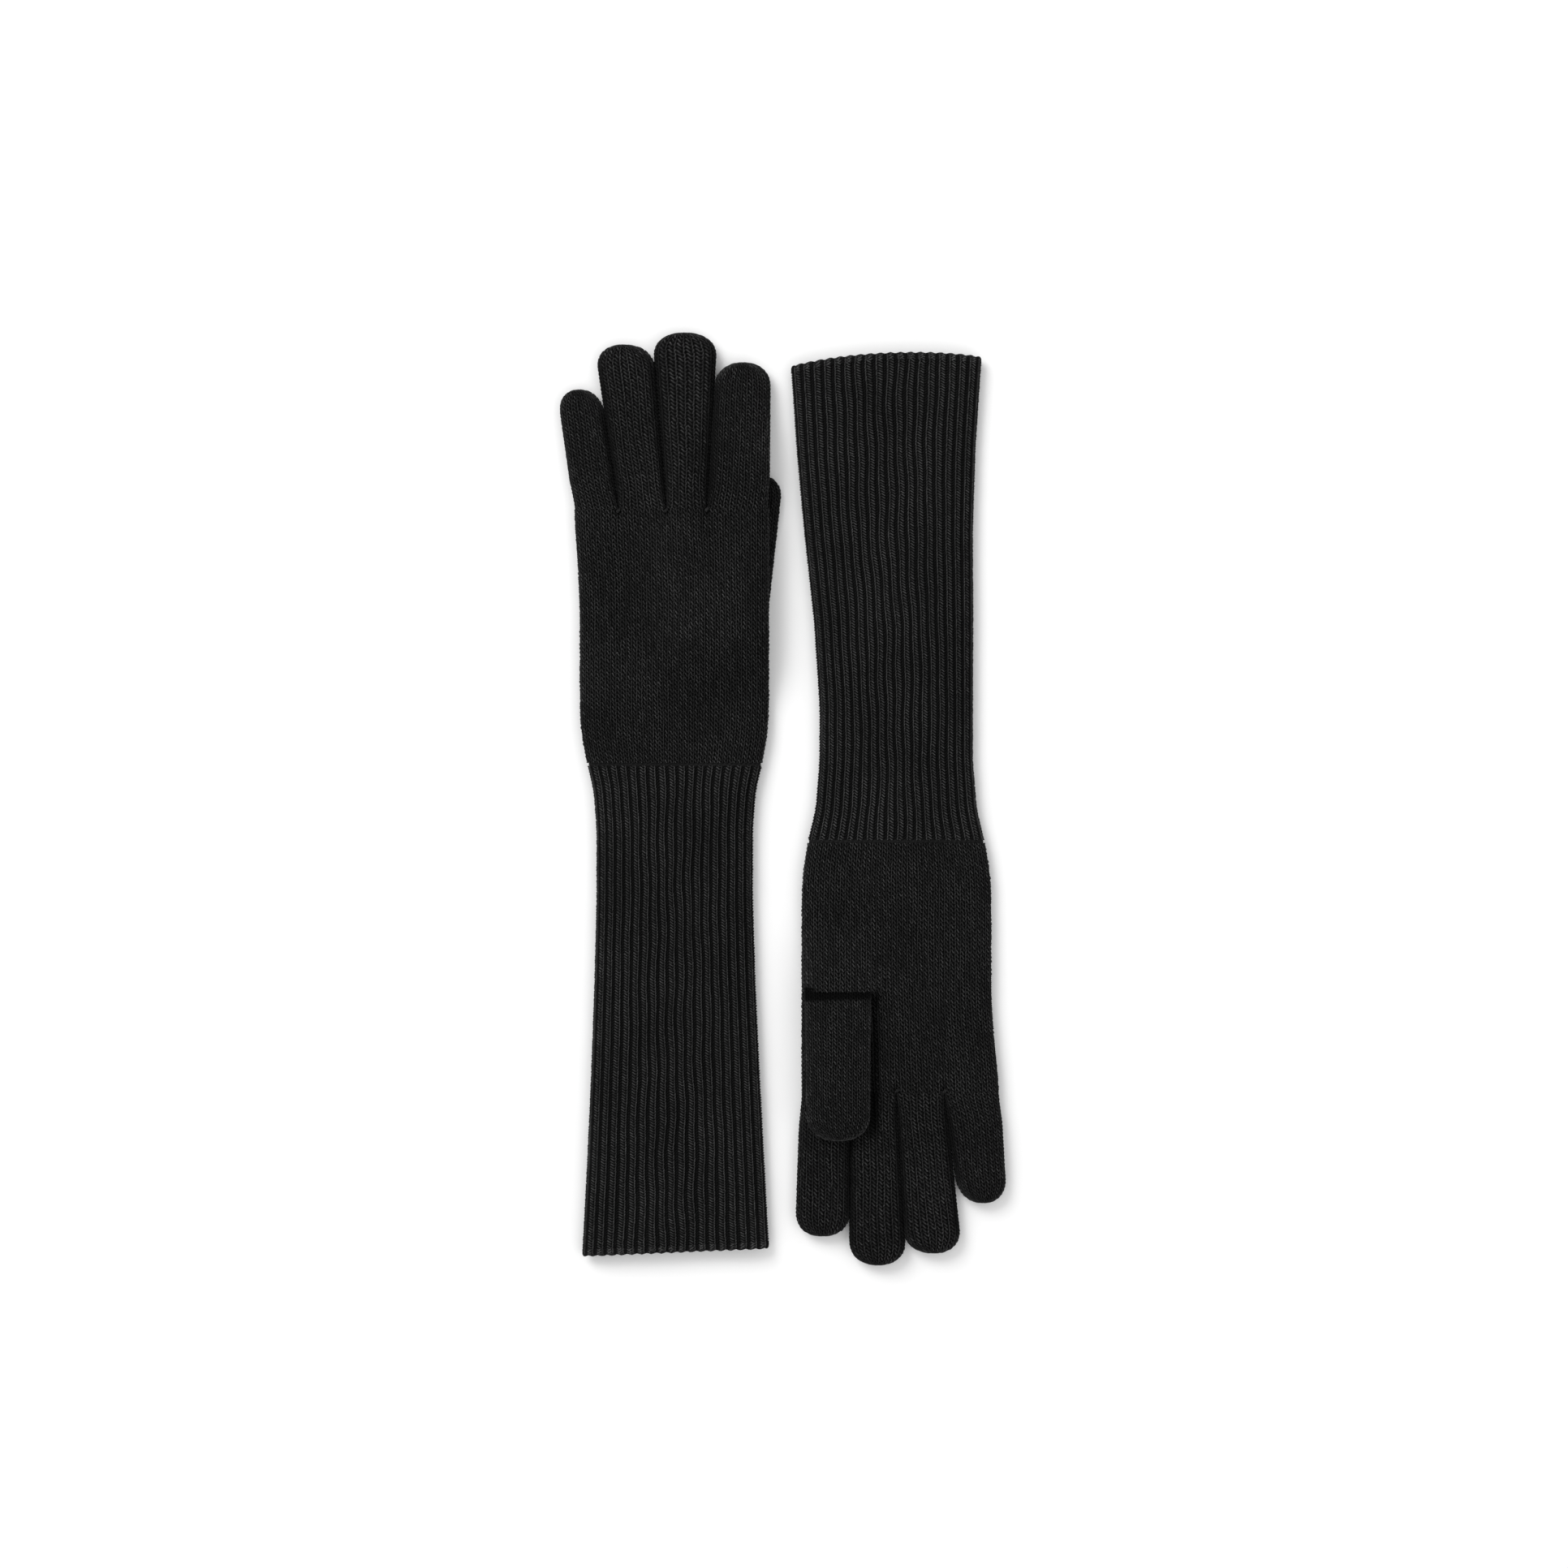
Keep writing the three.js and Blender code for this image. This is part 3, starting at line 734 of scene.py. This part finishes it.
def knit_hand(glove):
    """The hand: a tube of plain knitting, closed where the fingers part."""
    side = glove.side
    start, end = glove.extent(f"{side}_hand")
    low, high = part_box(f"{side}_wrist_seam")
    share = face_share(HALF_WALES * sizes().across)
    rows = int((end - start) / (sizes().hand_course / MM) * sizes().along)
    places = np.linspace(start - 0.5, end + 0.3, rows)
    left, right = edges_of(glove, f"{side}_hand", start + 0.01, end - 0.01, places)
    grid = settled(glove, wide_tube(places, left, right, low, high, share))
    grid = over_thumb(glove, grid, high.z / MM)
    x, y = grid[..., 0], grid[..., 1]
    wale = np.broadcast_to(share * HALF_WALES, x.shape)
    course = np.broadcast_to((places / (sizes().hand_course / MM))[:, None], x.shape)
    ends_free = rise(0, 14, places) * (1 - rise(end - 14, end, places))
    free = np.sin(share * np.pi) ** 2 * ends_free[:, None]
    wale = wale + wander(wale, course, glove.turn) * free
    height = plain_stitches(wale, course)
    groove = np.zeros_like(x)
    for at in crotches(glove):
        across = np.exp(-(((x - at) / GROOVE_WIDTH) ** 2))
        groove += GROOVE_DEPTH * across * rise(end - GROOVE_LENGTH, end, y)
    knit = grid - normals_of(grid) * (sizes().plain_relief / MM * (1 - height) + groove)[..., None]
    last = np.arange((rows - 1) * len(share), rows * len(share))
    faces = [*facing_out(grid), *end_wall(last)]
    upper = rise(0.0, 1.0, 2 * grid[..., 2] * MM / high.z - 1)
    # Painted shade: the yarn is coloured darker in the trough beside the folded thumb and in the grooves
    # where the fingers part
    hand_painted_shade = (1 - TROUGH_PAINTED_SHADE * thumb_trough(glove, x, y) * upper) * (1 - 0.25 * groove)
    points, chart = glove.to_row(knit.reshape(-1, 3)), unrolled(grid, share)
    piece = new_object(f"{side}_plain_hand", points, faces, chart, (height * hand_painted_shade).ravel())
    bend = bend_at(glove, "cuff", "hand", start - 0.3, start + 10, high.z / MM)
    finish_piece(piece, "plain_knit", [f"{side}_hand"], bend=bend)


def over_thumb(glove, grid, high):
    """Raises the palm over the thumb's base and, back up, lays the hand on the thumb."""
    x, y, z = grid[..., 0], grid[..., 1], grid[..., 2]
    out = grid.copy()
    face = rise(0.0, 1.0, (z - high / 2) / (high / 2))
    if glove.palm_up:
        out[..., 2] = z + (gusset(glove, x, y) - TROUGH_DEPTH * thumb_trough(glove, x, y)) * face
    else:
        under = rise(0.0, 1.0, (high / 2 - z) / (high / 2))
        out[..., 2] = z - gusset(glove, x, y) * under + glove.lift(x, y)
    return out


def finger_edges(glove, name, places):
    """Straight left and right edges of a finger, from two sections of its CAD solid."""
    node = f"{glove.side}_{name}_finger"
    start, end = glove.extent(node)
    at = np.array([start + 1.0, start + 0.55 * (end - start)])
    left, right, _, _ = glove.outline(node, at)
    run = (places - at[0]) / (at[1] - at[0])
    left, right = left[0] + (left[1] - left[0]) * run, right[0] + (right[1] - right[0]) * run
    outer = rise(glove.knuckles, glove.knuckles + 18, places) * OUTER_SPREAD + BLOOM
    inner = INNER_BLOOM[glove.side]
    left = left - (outer if name == "little" else inner)
    return left, right + (outer if name == "index" else inner)


def tip_of(glove, name):
    """Where the knitting of a finger or thumb ends."""
    return glove.extent(f"{glove.side}_{name}_tip_knot")[1] - 0.4


def digit_rows(root, tip, course, along):
    """Places along a finger and how far each is round its rounded tip, from 0 to 1. Rows are
    evenly spaced by the length of the fabric over the tip."""
    shoulder = tip - TIP_LENGTH
    angle = np.linspace(0, math.pi / 2, 200)
    y = TIP_LENGTH * np.sin(angle) ** (2 / TIP_POWER)
    z = 4.5 * np.sqrt(np.cos(angle).clip(0) ** (2 / TIP_POWER))
    run = np.concatenate([[0], np.cumsum(np.hypot(np.diff(y), np.diff(z)))])
    total = (shoulder - root) + run[-1] * 0.985
    count = int(total / course * along)
    s = np.linspace(0, total, count)
    round_tip = np.interp(s - (shoulder - root), run, angle)
    past = shoulder + TIP_LENGTH * np.sin(round_tip) ** (2 / TIP_POWER)
    places = np.where(s <= shoulder - root, root + s, past)
    taper = np.cos(round_tip) ** (2 / TIP_POWER)
    return places, taper, s


def knit_digit(glove, name, edges, root, low, high, rounds, wales, first_course):
    """The grid of a finger or thumb with its rounded tip, and where each point lies: its share
    round the tube, its column and row of stitches, and how far its row is drawn in."""
    course = sizes().finger_course / MM
    places, taper, run = digit_rows(root, tip_of(glove, name), course, sizes().along)
    left, right = edges(places)
    middle, half = (left + right) / 2, (right - left) / 2
    left, right = middle - half * taper, middle + half * taper
    centre, tall = (low + high) / 2, (high - low) / 2 * np.sqrt(taper)
    first, last, total = wales
    over = last - first
    top = max(8, int(round(over * sizes().across)))
    under = max(8, int(round((total - over) * sizes().across)))
    share = np.concatenate([np.arange(top) / top, 1 + np.arange(under) / under])
    grid = tube(places, left, right, centre - tall, centre + tall, *rounds(places), share)
    wale = np.where(share <= 1, first + share * over, last + (share - 1) * (total - over))
    wale = np.broadcast_to(wale, grid.shape[:2])
    rows = np.broadcast_to((first_course + run / course)[:, None], wale.shape)
    return grid, share, wale, rows, taper


def digit_stitches(grid, share, wale, rows, taper, root, seed):
    """Heights of the stitches of a finger or thumb. They are drawn flatter round its tip."""
    free = np.sin(share * np.pi) ** 2 * rise(0, 14, grid[..., 1] - root)
    height = plain_stitches(wale + wander(wale, rows, seed) * free, rows)
    fade = (0.35 + 0.65 * rise(0.12, 0.55, taper))[:, None]
    return 0.75 + (height - 0.75) * fade


def close_tip(knit):
    """Points and triangles that close the last row of a grid."""
    rows, columns = knit.shape[:2]
    centre = knit[-1].mean(0)
    points = np.concatenate([knit.reshape(-1, 3), centre[None]])
    last = np.arange((rows - 1) * columns, rows * columns)
    fan = np.stack([last, np.roll(last, -1), np.full(columns, rows * columns)], -1)
    return points, fan


def digit_piece(glove, title, grid, share, height, painted_shade_factor, nodes, bend):
    """A finger or thumb with its stitches raised. Its yarn is coloured darker by painted shade, a factor
    for each point that is 1 where none is painted.
    """
    relief = sizes().plain_relief / MM
    # Stitches are pressed flatter where two fingers lie against each other
    pressed = 1 - FLANK_PRESS * (1 - rise(0, 0.16, np.abs(np.sin(share * np.pi))))
    # Near the tip the rows are drawn together and face along the finger
    wide = np.ptp(grid[..., 0], axis=1)
    turned = rise(0.1, 0.4, wide / wide.max())[:, None, None]
    normals = normals_of(grid) * turned + np.array([0.0, 1.0, 0.0]) * (1 - turned)
    knit = grid - normals * (relief * (1 - height) * pressed)[..., None]
    points, fan = close_tip(knit)
    body = grid_faces(*grid.shape[:2])
    faces = outward(points - points.mean(0), [body, fan])
    chart = unrolled(grid, share)
    chart = np.concatenate([chart, chart[-1:]])
    painted_stitch_shading = np.concatenate([(height * painted_shade_factor).ravel(), [0.5]])
    piece = new_object(title, glove.to_row(points), faces, chart, painted_stitch_shading)
    finish_piece(piece, "plain_knit", nodes, bend=bend)


def knit_finger(glove, name):
    """A finger, whose columns of stitches carry on from the hand's own."""
    side = glove.side
    place = FINGERS.index(name)
    root = glove.knuckles
    low, high = (v.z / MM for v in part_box(f"{side}_wrist_seam"))
    begin = glove.extent(f"{side}_hand")[0]
    left, right = edges_of(glove, f"{side}_hand", begin + 0.01, root - 0.01, np.array([root]))
    around = np.linspace(0, 1, 400)
    ring = section(left[0], right[0], low, high, CUFF_ROUND, CUFF_ROUND, around)

    def edges(places):
        return finger_edges(glove, name, places)

    def column(x):
        return float(np.interp(x, ring[:, 0], HALF_WALES * around))

    left, right = (v[0] for v in edges(np.array([root])))
    first = 0.0 if place == 0 else column(left)
    last = HALF_WALES if place == 3 else column(right)
    wales = (first, last, round(2 * (last - first) + 2))

    def rounds(places):
        grows = rise(0, ROUND_GROWS, places - root)
        grown = CROTCH_ROUND + (INNER_ROUND - CROTCH_ROUND) * grows
        outer = OUTER_ROUND + (CUFF_ROUND - OUTER_ROUND) * (1 - grows)
        return (outer if place == 0 else grown), (outer if place == 3 else grown)

    first_course = root / (sizes().hand_course / MM)
    grid, share, wale, rows, taper = knit_digit(
        glove, name, edges, root + 0.1, low, high, rounds, wales, first_course
    )
    grid = settled(glove, grid)
    trough = thumb_trough(glove, grid[..., 0], grid[..., 1])
    upper = rise(0.0, 1.0, (grid[..., 2] - high / 2) / (high / 2))
    grid[..., 2] += glove.lift(grid[..., 0], grid[..., 1]) - TROUGH_DEPTH * trough * upper
    height = digit_stitches(grid, share, wale, rows, taper, root, place + glove.turn)
    nodes = [f"{side}_{name}_finger"]
    fold = root
    if (side, name) in COVERED:
        nodes.append(f"{side}_{name}_finger_root")
        fold = glove.extent(f"{side}_{name}_finger")[0] - 0.3
    bend = bend_at(glove, "hand", f"{name}_finger", fold, fold + 10, high)
    # Painted shade on the sides where two fingers lie against each other, fading out near the tip
    toward = np.cos(share * np.pi)
    between_fingers_shade = np.zeros_like(share)
    if place > 0:
        between_fingers_shade = np.maximum(between_fingers_shade, rise(0.80, 0.99, toward))
    if place < 3:
        between_fingers_shade = np.maximum(between_fingers_shade, rise(0.80, 0.99, -toward))
    tip = tip_of(glove, name)
    painted_shade_factor = 1 - 0.65 * between_fingers_shade[None, :] * (1 - rise(tip - 16, tip - 4, grid[..., 1]))
    # and painted shade in the trough beside the folded thumb
    painted_shade_factor = painted_shade_factor * (1 - TROUGH_PAINTED_SHADE * trough * upper)
    digit_piece(glove, f"{side}_{name}_knit_finger", grid, share, height, painted_shade_factor, nodes, bend)


def knit_thumb(glove):
    """A thumb, tucked under its hand or folded over its palm."""
    side = glove.side
    node = f"{side}_thumb"
    start, end = glove.extent(node)
    at = np.array([start + 1.0, start + 0.5 * (end - start)])
    left, right, lows, highs = glove.outline(node, at)
    low, high = lows.min(), highs.max()

    def edges(places):
        run = (places - at[0]) / (at[1] - at[0])
        return left[0] + (left[1] - left[0]) * run, right[0] + (right[1] - right[0]) * run

    def rounds(places):
        return np.full(len(places), OUTER_ROUND), np.full(len(places), OUTER_ROUND)

    columns = (right[0] - left[0] + 3) / 2.42
    wales = (0.5, 0.5 + columns, round(2 * columns))
    root = start - 0.9
    first_course = root / (sizes().hand_course / MM)
    grid, share, wale, rows, taper = knit_digit(
        glove, "thumb", edges, root, low, high, rounds, wales, first_course
    )
    # Sewn on with tighter stitches: the fabric draws in at its root
    pull = 1 - rise(0, 9, grid[..., 1] - start)
    middle = grid[..., 2].mean(1, keepdims=True)
    grid[..., 2] = middle + (grid[..., 2] - middle) * (1 - 0.10 * pull)
    swell = 0.35 * np.sin(grid[..., 1] / 11 + grid[..., 0] / 17)
    grid[..., 2] -= (0.5 + swell) * rise(0, 3, grid[..., 2] - middle)
    height = digit_stitches(grid, share, wale, rows, taper, root, 3 + glove.turn)
    bend = bend_at(glove, "hand", "thumb", start, start + 10, high if glove.palm_up else low)
    # Painted shade on its first rows, in the crease where it is sewn on
    painted_shade_factor = 0.15 + 0.85 * rise(3.0, 5.2, grid[..., 1] - start - 0.03 * grid[..., 0])
    digit_piece(glove, f"{side}_knit_thumb", grid, share, height, painted_shade_factor, [node], bend)


# ---------------------------------------------------------------- yarn pieces


def yarn(paths, radius):
    """Twisted yarn along paths in millimetres, as points and faces. Its plies wind round it."""
    all_points, all_faces, start = [], [], 0
    for path in paths:
        path = np.asarray(path, float)
        tangent = np.gradient(path, axis=0)
        tangent /= np.linalg.norm(tangent, axis=1, keepdims=True)
        run = np.concatenate([[0], np.cumsum(np.linalg.norm(np.diff(path, axis=0), axis=1))])
        aside = np.cross(tangent, [0.0, 0.0, 1.0])
        aside += np.cross(tangent, [0.0, 0.3, 0.0])
        aside /= np.maximum(np.linalg.norm(aside, axis=1, keepdims=True), 1e-6)
        above = np.cross(aside, tangent)
        angle = np.arange(AROUND) * 2 * math.pi / AROUND
        twist = 2 * math.pi * run / TWIST
        wave = 1 - 0.22 * (0.5 - 0.5 * np.cos(PLIES * (angle[None, :] - twist[:, None])))
        ends = np.sqrt(np.clip(np.minimum(run, run[-1] - run) / radius, 0.04, 1))
        size = radius * wave * ends[:, None]
        ring = (
            path[:, None]
            + size[..., None] * np.cos(angle)[None, :, None] * aside[:, None]
            + size[..., None] * np.sin(angle)[None, :, None] * above[:, None]
        )
        count = len(path)
        points = np.concatenate([ring.reshape(-1, 3), path[:1], path[-1:]])
        first = np.arange(AROUND)
        last = first + (count - 1) * AROUND
        body = grid_faces(count, AROUND)
        cap_a = np.stack([np.roll(first, -1), first, np.full(AROUND, count * AROUND)], -1)
        cap_b = np.stack([last, np.roll(last, -1), np.full(AROUND, count * AROUND + 1)], -1)
        local = outward(points - points.mean(0), [body, cap_a, cap_b])
        all_points.append(points)
        all_faces.append([f + start for f in local])
        start += len(points)
    faces = [np.concatenate([f[k] for f in all_faces]) for k in range(3)]
    return np.concatenate(all_points), faces


def tie_knot(glove, name):
    """The yarn end fastened at a tip: a small flat knot of three turns."""
    side = glove.side
    node = f"{side}_{name}_tip_knot"
    co = glove.corners(node)
    centre = (co.min(0) + co.max(0)) / 2
    half = (co.max(0) - co.min(0)) / 2
    t = np.linspace(0, 2 * math.pi * 0.97, 90)
    x = (half[0] - 0.45) * (np.sin(t) + 0.55 * np.sin(2 * t)) / 1.35
    y = (half[1] - 0.35) * 0.9 * np.cos(3 * t + 0.4)
    z = (half[2] - 0.45) * (np.cos(t) - 0.55 * np.cos(2 * t)) / 1.35
    path = centre + np.stack([x, y - 1.0, z], -1)
    points, faces = yarn([path], 0.42)
    body = f"{side}_thumb" if name == "thumb" else f"{side}_{name}_finger"
    piece = new_object(f"{node}_yarn", glove.to_row(points), faces)
    finish_piece(piece, "closing_yarn", [node], body)


def sew_crotch(glove, one, two, x):
    """Three closing stitches that draw the faces together where two fingers part."""
    side = glove.side
    node = f"{side}_{one}_{two}_crotch_stitch"
    low, high = (v.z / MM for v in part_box(f"{side}_wrist_seam"))
    y = glove.knuckles
    up = float(glove.lift(x, y))
    paths = []
    for k, (shift, reach) in enumerate(((-0.9, 1.7), (0.0, 2.3), (0.9, 1.6))):
        t = np.linspace(-1, 1, 34)
        py = y - reach * 0.9 + reach * (1 - np.abs(t) ** 2.5) + 0.2 * k
        pz = (low + high) / 2 + ((high - low) / 2 - 1.7) * np.sin(t * math.pi / 2)
        px = x + shift * (0.6 + 0.4 * np.abs(t)) + 0.35 * np.sin(3 * t + k)
        paths.append(np.stack([px, py, pz + up], -1))
    points, faces = yarn(paths, 0.45)
    piece = new_object(f"{node}_yarn", glove.to_row(points), faces)
    finish_piece(piece, "closing_yarn", [node], f"{side}_hand")


# ---------------------------------------------------------------- operators


def gloves():
    return Glove("left", 1), Glove("right", -1)


class GLOVES_OT_cuffs(bpy.types.Operator):
    """Knit the two long cuffs in one by one rib"""

    bl_idname = "gloves.cuffs"
    bl_label = "Ribbed cuffs"

    def execute(self, context):
        for glove in gloves():
            knit_cuff(glove)
        return {"FINISHED"}


class GLOVES_OT_edges(bpy.types.Operator):
    """Roll the ribbing over at the opening of both cuffs"""

    bl_idname = "gloves.edges"
    bl_label = "Cuff edges"

    def execute(self, context):
        for glove in gloves():
            knit_welt(glove)
        return {"FINISHED"}


class GLOVES_OT_linking(bpy.types.Operator):
    """Link the cuffs to the hands with a row of small loops"""

    bl_idname = "gloves.linking"
    bl_label = "Wrist linking"

    def execute(self, context):
        for glove in gloves():
            knit_wrist_seam(glove)
        return {"FINISHED"}


class GLOVES_OT_hands(bpy.types.Operator):
    """Knit the two hands in stockinette, with the gusset of the thumb"""

    bl_idname = "gloves.hands"
    bl_label = "Hands"

    def execute(self, context):
        for glove in gloves():
            knit_hand(glove)
        return {"FINISHED"}


class GLOVES_OT_fingers(bpy.types.Operator):
    """Knit the eight fingers on from the hands"""

    bl_idname = "gloves.fingers"
    bl_label = "Fingers"

    def execute(self, context):
        for glove in gloves():
            for name in FINGERS:
                knit_finger(glove, name)
        return {"FINISHED"}


class GLOVES_OT_thumbs(bpy.types.Operator):
    """Knit the two thumbs, one tucked under its hand and one folded over its palm"""

    bl_idname = "gloves.thumbs"
    bl_label = "Thumbs"

    def execute(self, context):
        for glove in gloves():
            knit_thumb(glove)
        return {"FINISHED"}


class GLOVES_OT_closings(bpy.types.Operator):
    """Sew the closing stitches between the fingers and knot the yarn at every tip"""

    bl_idname = "gloves.closings"
    bl_label = "Closing stitches and knots"

    def execute(self, context):
        for glove in gloves():
            for (one, two), x in zip(CROTCHES, crotches(glove)):
                sew_crotch(glove, one, two, x)
            for name in (*FINGERS, "thumb"):
                tie_knot(glove, name)
        return {"FINISHED"}


class GLOVES_OT_stage(bpy.types.Operator):
    """Set the white table, the soft lights and the camera straight above"""

    bl_idname = "gloves.stage"
    bl_label = "Table, lights and camera"

    def execute(self, context):
        set_stage(context.scene)
        return {"FINISHED"}


def set_stage(scene):
    """White paper to lie on, two softboxes in a white studio, and a camera straight above."""
    points = np.array([(-4, -4, 0), (4, -4, 0), (4, 4, 0), (-4, 4, 0)], float)
    floor = new_object("table", points, [np.array([[0, 1, 2, 3]])])
    paper = bpy.data.materials.new("White paper, matt coated")
    paper.use_nodes = True
    tree = paper.node_tree
    tree.nodes.clear()
    place = add_node(tree, "ShaderNodeTexCoord").outputs["Object"]
    grain = add_node(tree, "ShaderNodeTexNoise", {"Vector": place, "Scale": 900.0, "Detail": 2.0})
    pressed = {"Strength": 0.02, "Distance": 0.05 * MM, "Height": grain.outputs["Fac"]}
    bump = add_node(tree, "ShaderNodeBump", pressed)
    shader = add_node(
        tree,
        "ShaderNodeBsdfPrincipled",
        {
            "Base Color": (*colours().table, 1),
            "Roughness": 0.9,
            "Specular IOR Level": 0.1,
            "Normal": bump.outputs["Normal"],
        },
    )
    add_node(tree, "ShaderNodeOutputMaterial", {"Surface": shader.outputs[0]})
    floor.data.materials.append(paper)

    for name, spot, size, power in (
        ("window softbox", (-1.5, 1.7, 1.9), 1.6, 50),
        ("fill softbox", (1.6, -1.2, 2.2), 2.0, 9),
    ):
        data = bpy.data.lights.new(name, "AREA")
        data.energy, data.size = power, size
        lamp = bpy.data.objects.new(name, data)
        lamp.location = spot
        lamp.rotation_mode = "QUATERNION"
        lamp.rotation_quaternion = (-Vector(spot)).to_track_quat("-Z", "Y")
        scene.collection.objects.link(lamp)

    world = bpy.data.worlds.new("White studio")
    world.use_nodes = True
    back = world.node_tree.nodes["Background"]
    back.inputs["Color"].default_value = (1, 1, 1, 1)
    back.inputs["Strength"].default_value = 0.74
    scene.world = world
    scene.view_settings.view_transform = "Standard"

    low, high = cad_box
    middle = (low + high) / 2
    data = bpy.data.cameras.new("camera above")
    data.lens, data.sensor_width = 100, 36
    camera = bpy.data.objects.new("camera above", data)
    away = SEEN * data.lens / data.sensor_width
    camera.location = (middle.x + AIM[0], middle.y + AIM[1], away + high.z / 2)
    scene.collection.objects.link(camera)
    scene.camera = camera


class GLOVES_PT_panel(bpy.types.Panel):
    """Sizes, colours and one button for each step of making the gloves"""

    bl_label = "Knitted gloves"
    bl_idname = "GLOVES_PT_panel"
    bl_space_type = "VIEW_3D"
    bl_region_type = "UI"
    bl_category = "Gloves"

    def draw(self, context):
        layout = self.layout
        for group in (context.scene.knit_sizes, context.scene.knit_colours):
            box = layout.box()
            for name in group.__annotations__:
                box.prop(group, name)
        for operator in OPERATORS:
            layout.operator(operator.bl_idname)


OPERATORS = (
    GLOVES_OT_stage,
    GLOVES_OT_cuffs,
    GLOVES_OT_edges,
    GLOVES_OT_linking,
    GLOVES_OT_hands,
    GLOVES_OT_fingers,
    GLOVES_OT_thumbs,
    GLOVES_OT_closings,
)
CLASSES = (KnitSizes, KnitColours, *OPERATORS, GLOVES_PT_panel)


def register():
    for each in CLASSES:
        bpy.utils.register_class(each)
    bpy.types.Scene.knit_sizes = bpy.props.PointerProperty(type=KnitSizes)
    bpy.types.Scene.knit_colours = bpy.props.PointerProperty(type=KnitColours)


def unregister():
    del bpy.types.Scene.knit_colours
    del bpy.types.Scene.knit_sizes
    for each in reversed(CLASSES):
        bpy.utils.unregister_class(each)


def main():
    register()
    for operator in OPERATORS:
        group, name = operator.bl_idname.split(".")
        getattr(getattr(bpy.ops, group), name)()


if __name__ == "__main__":
    main()
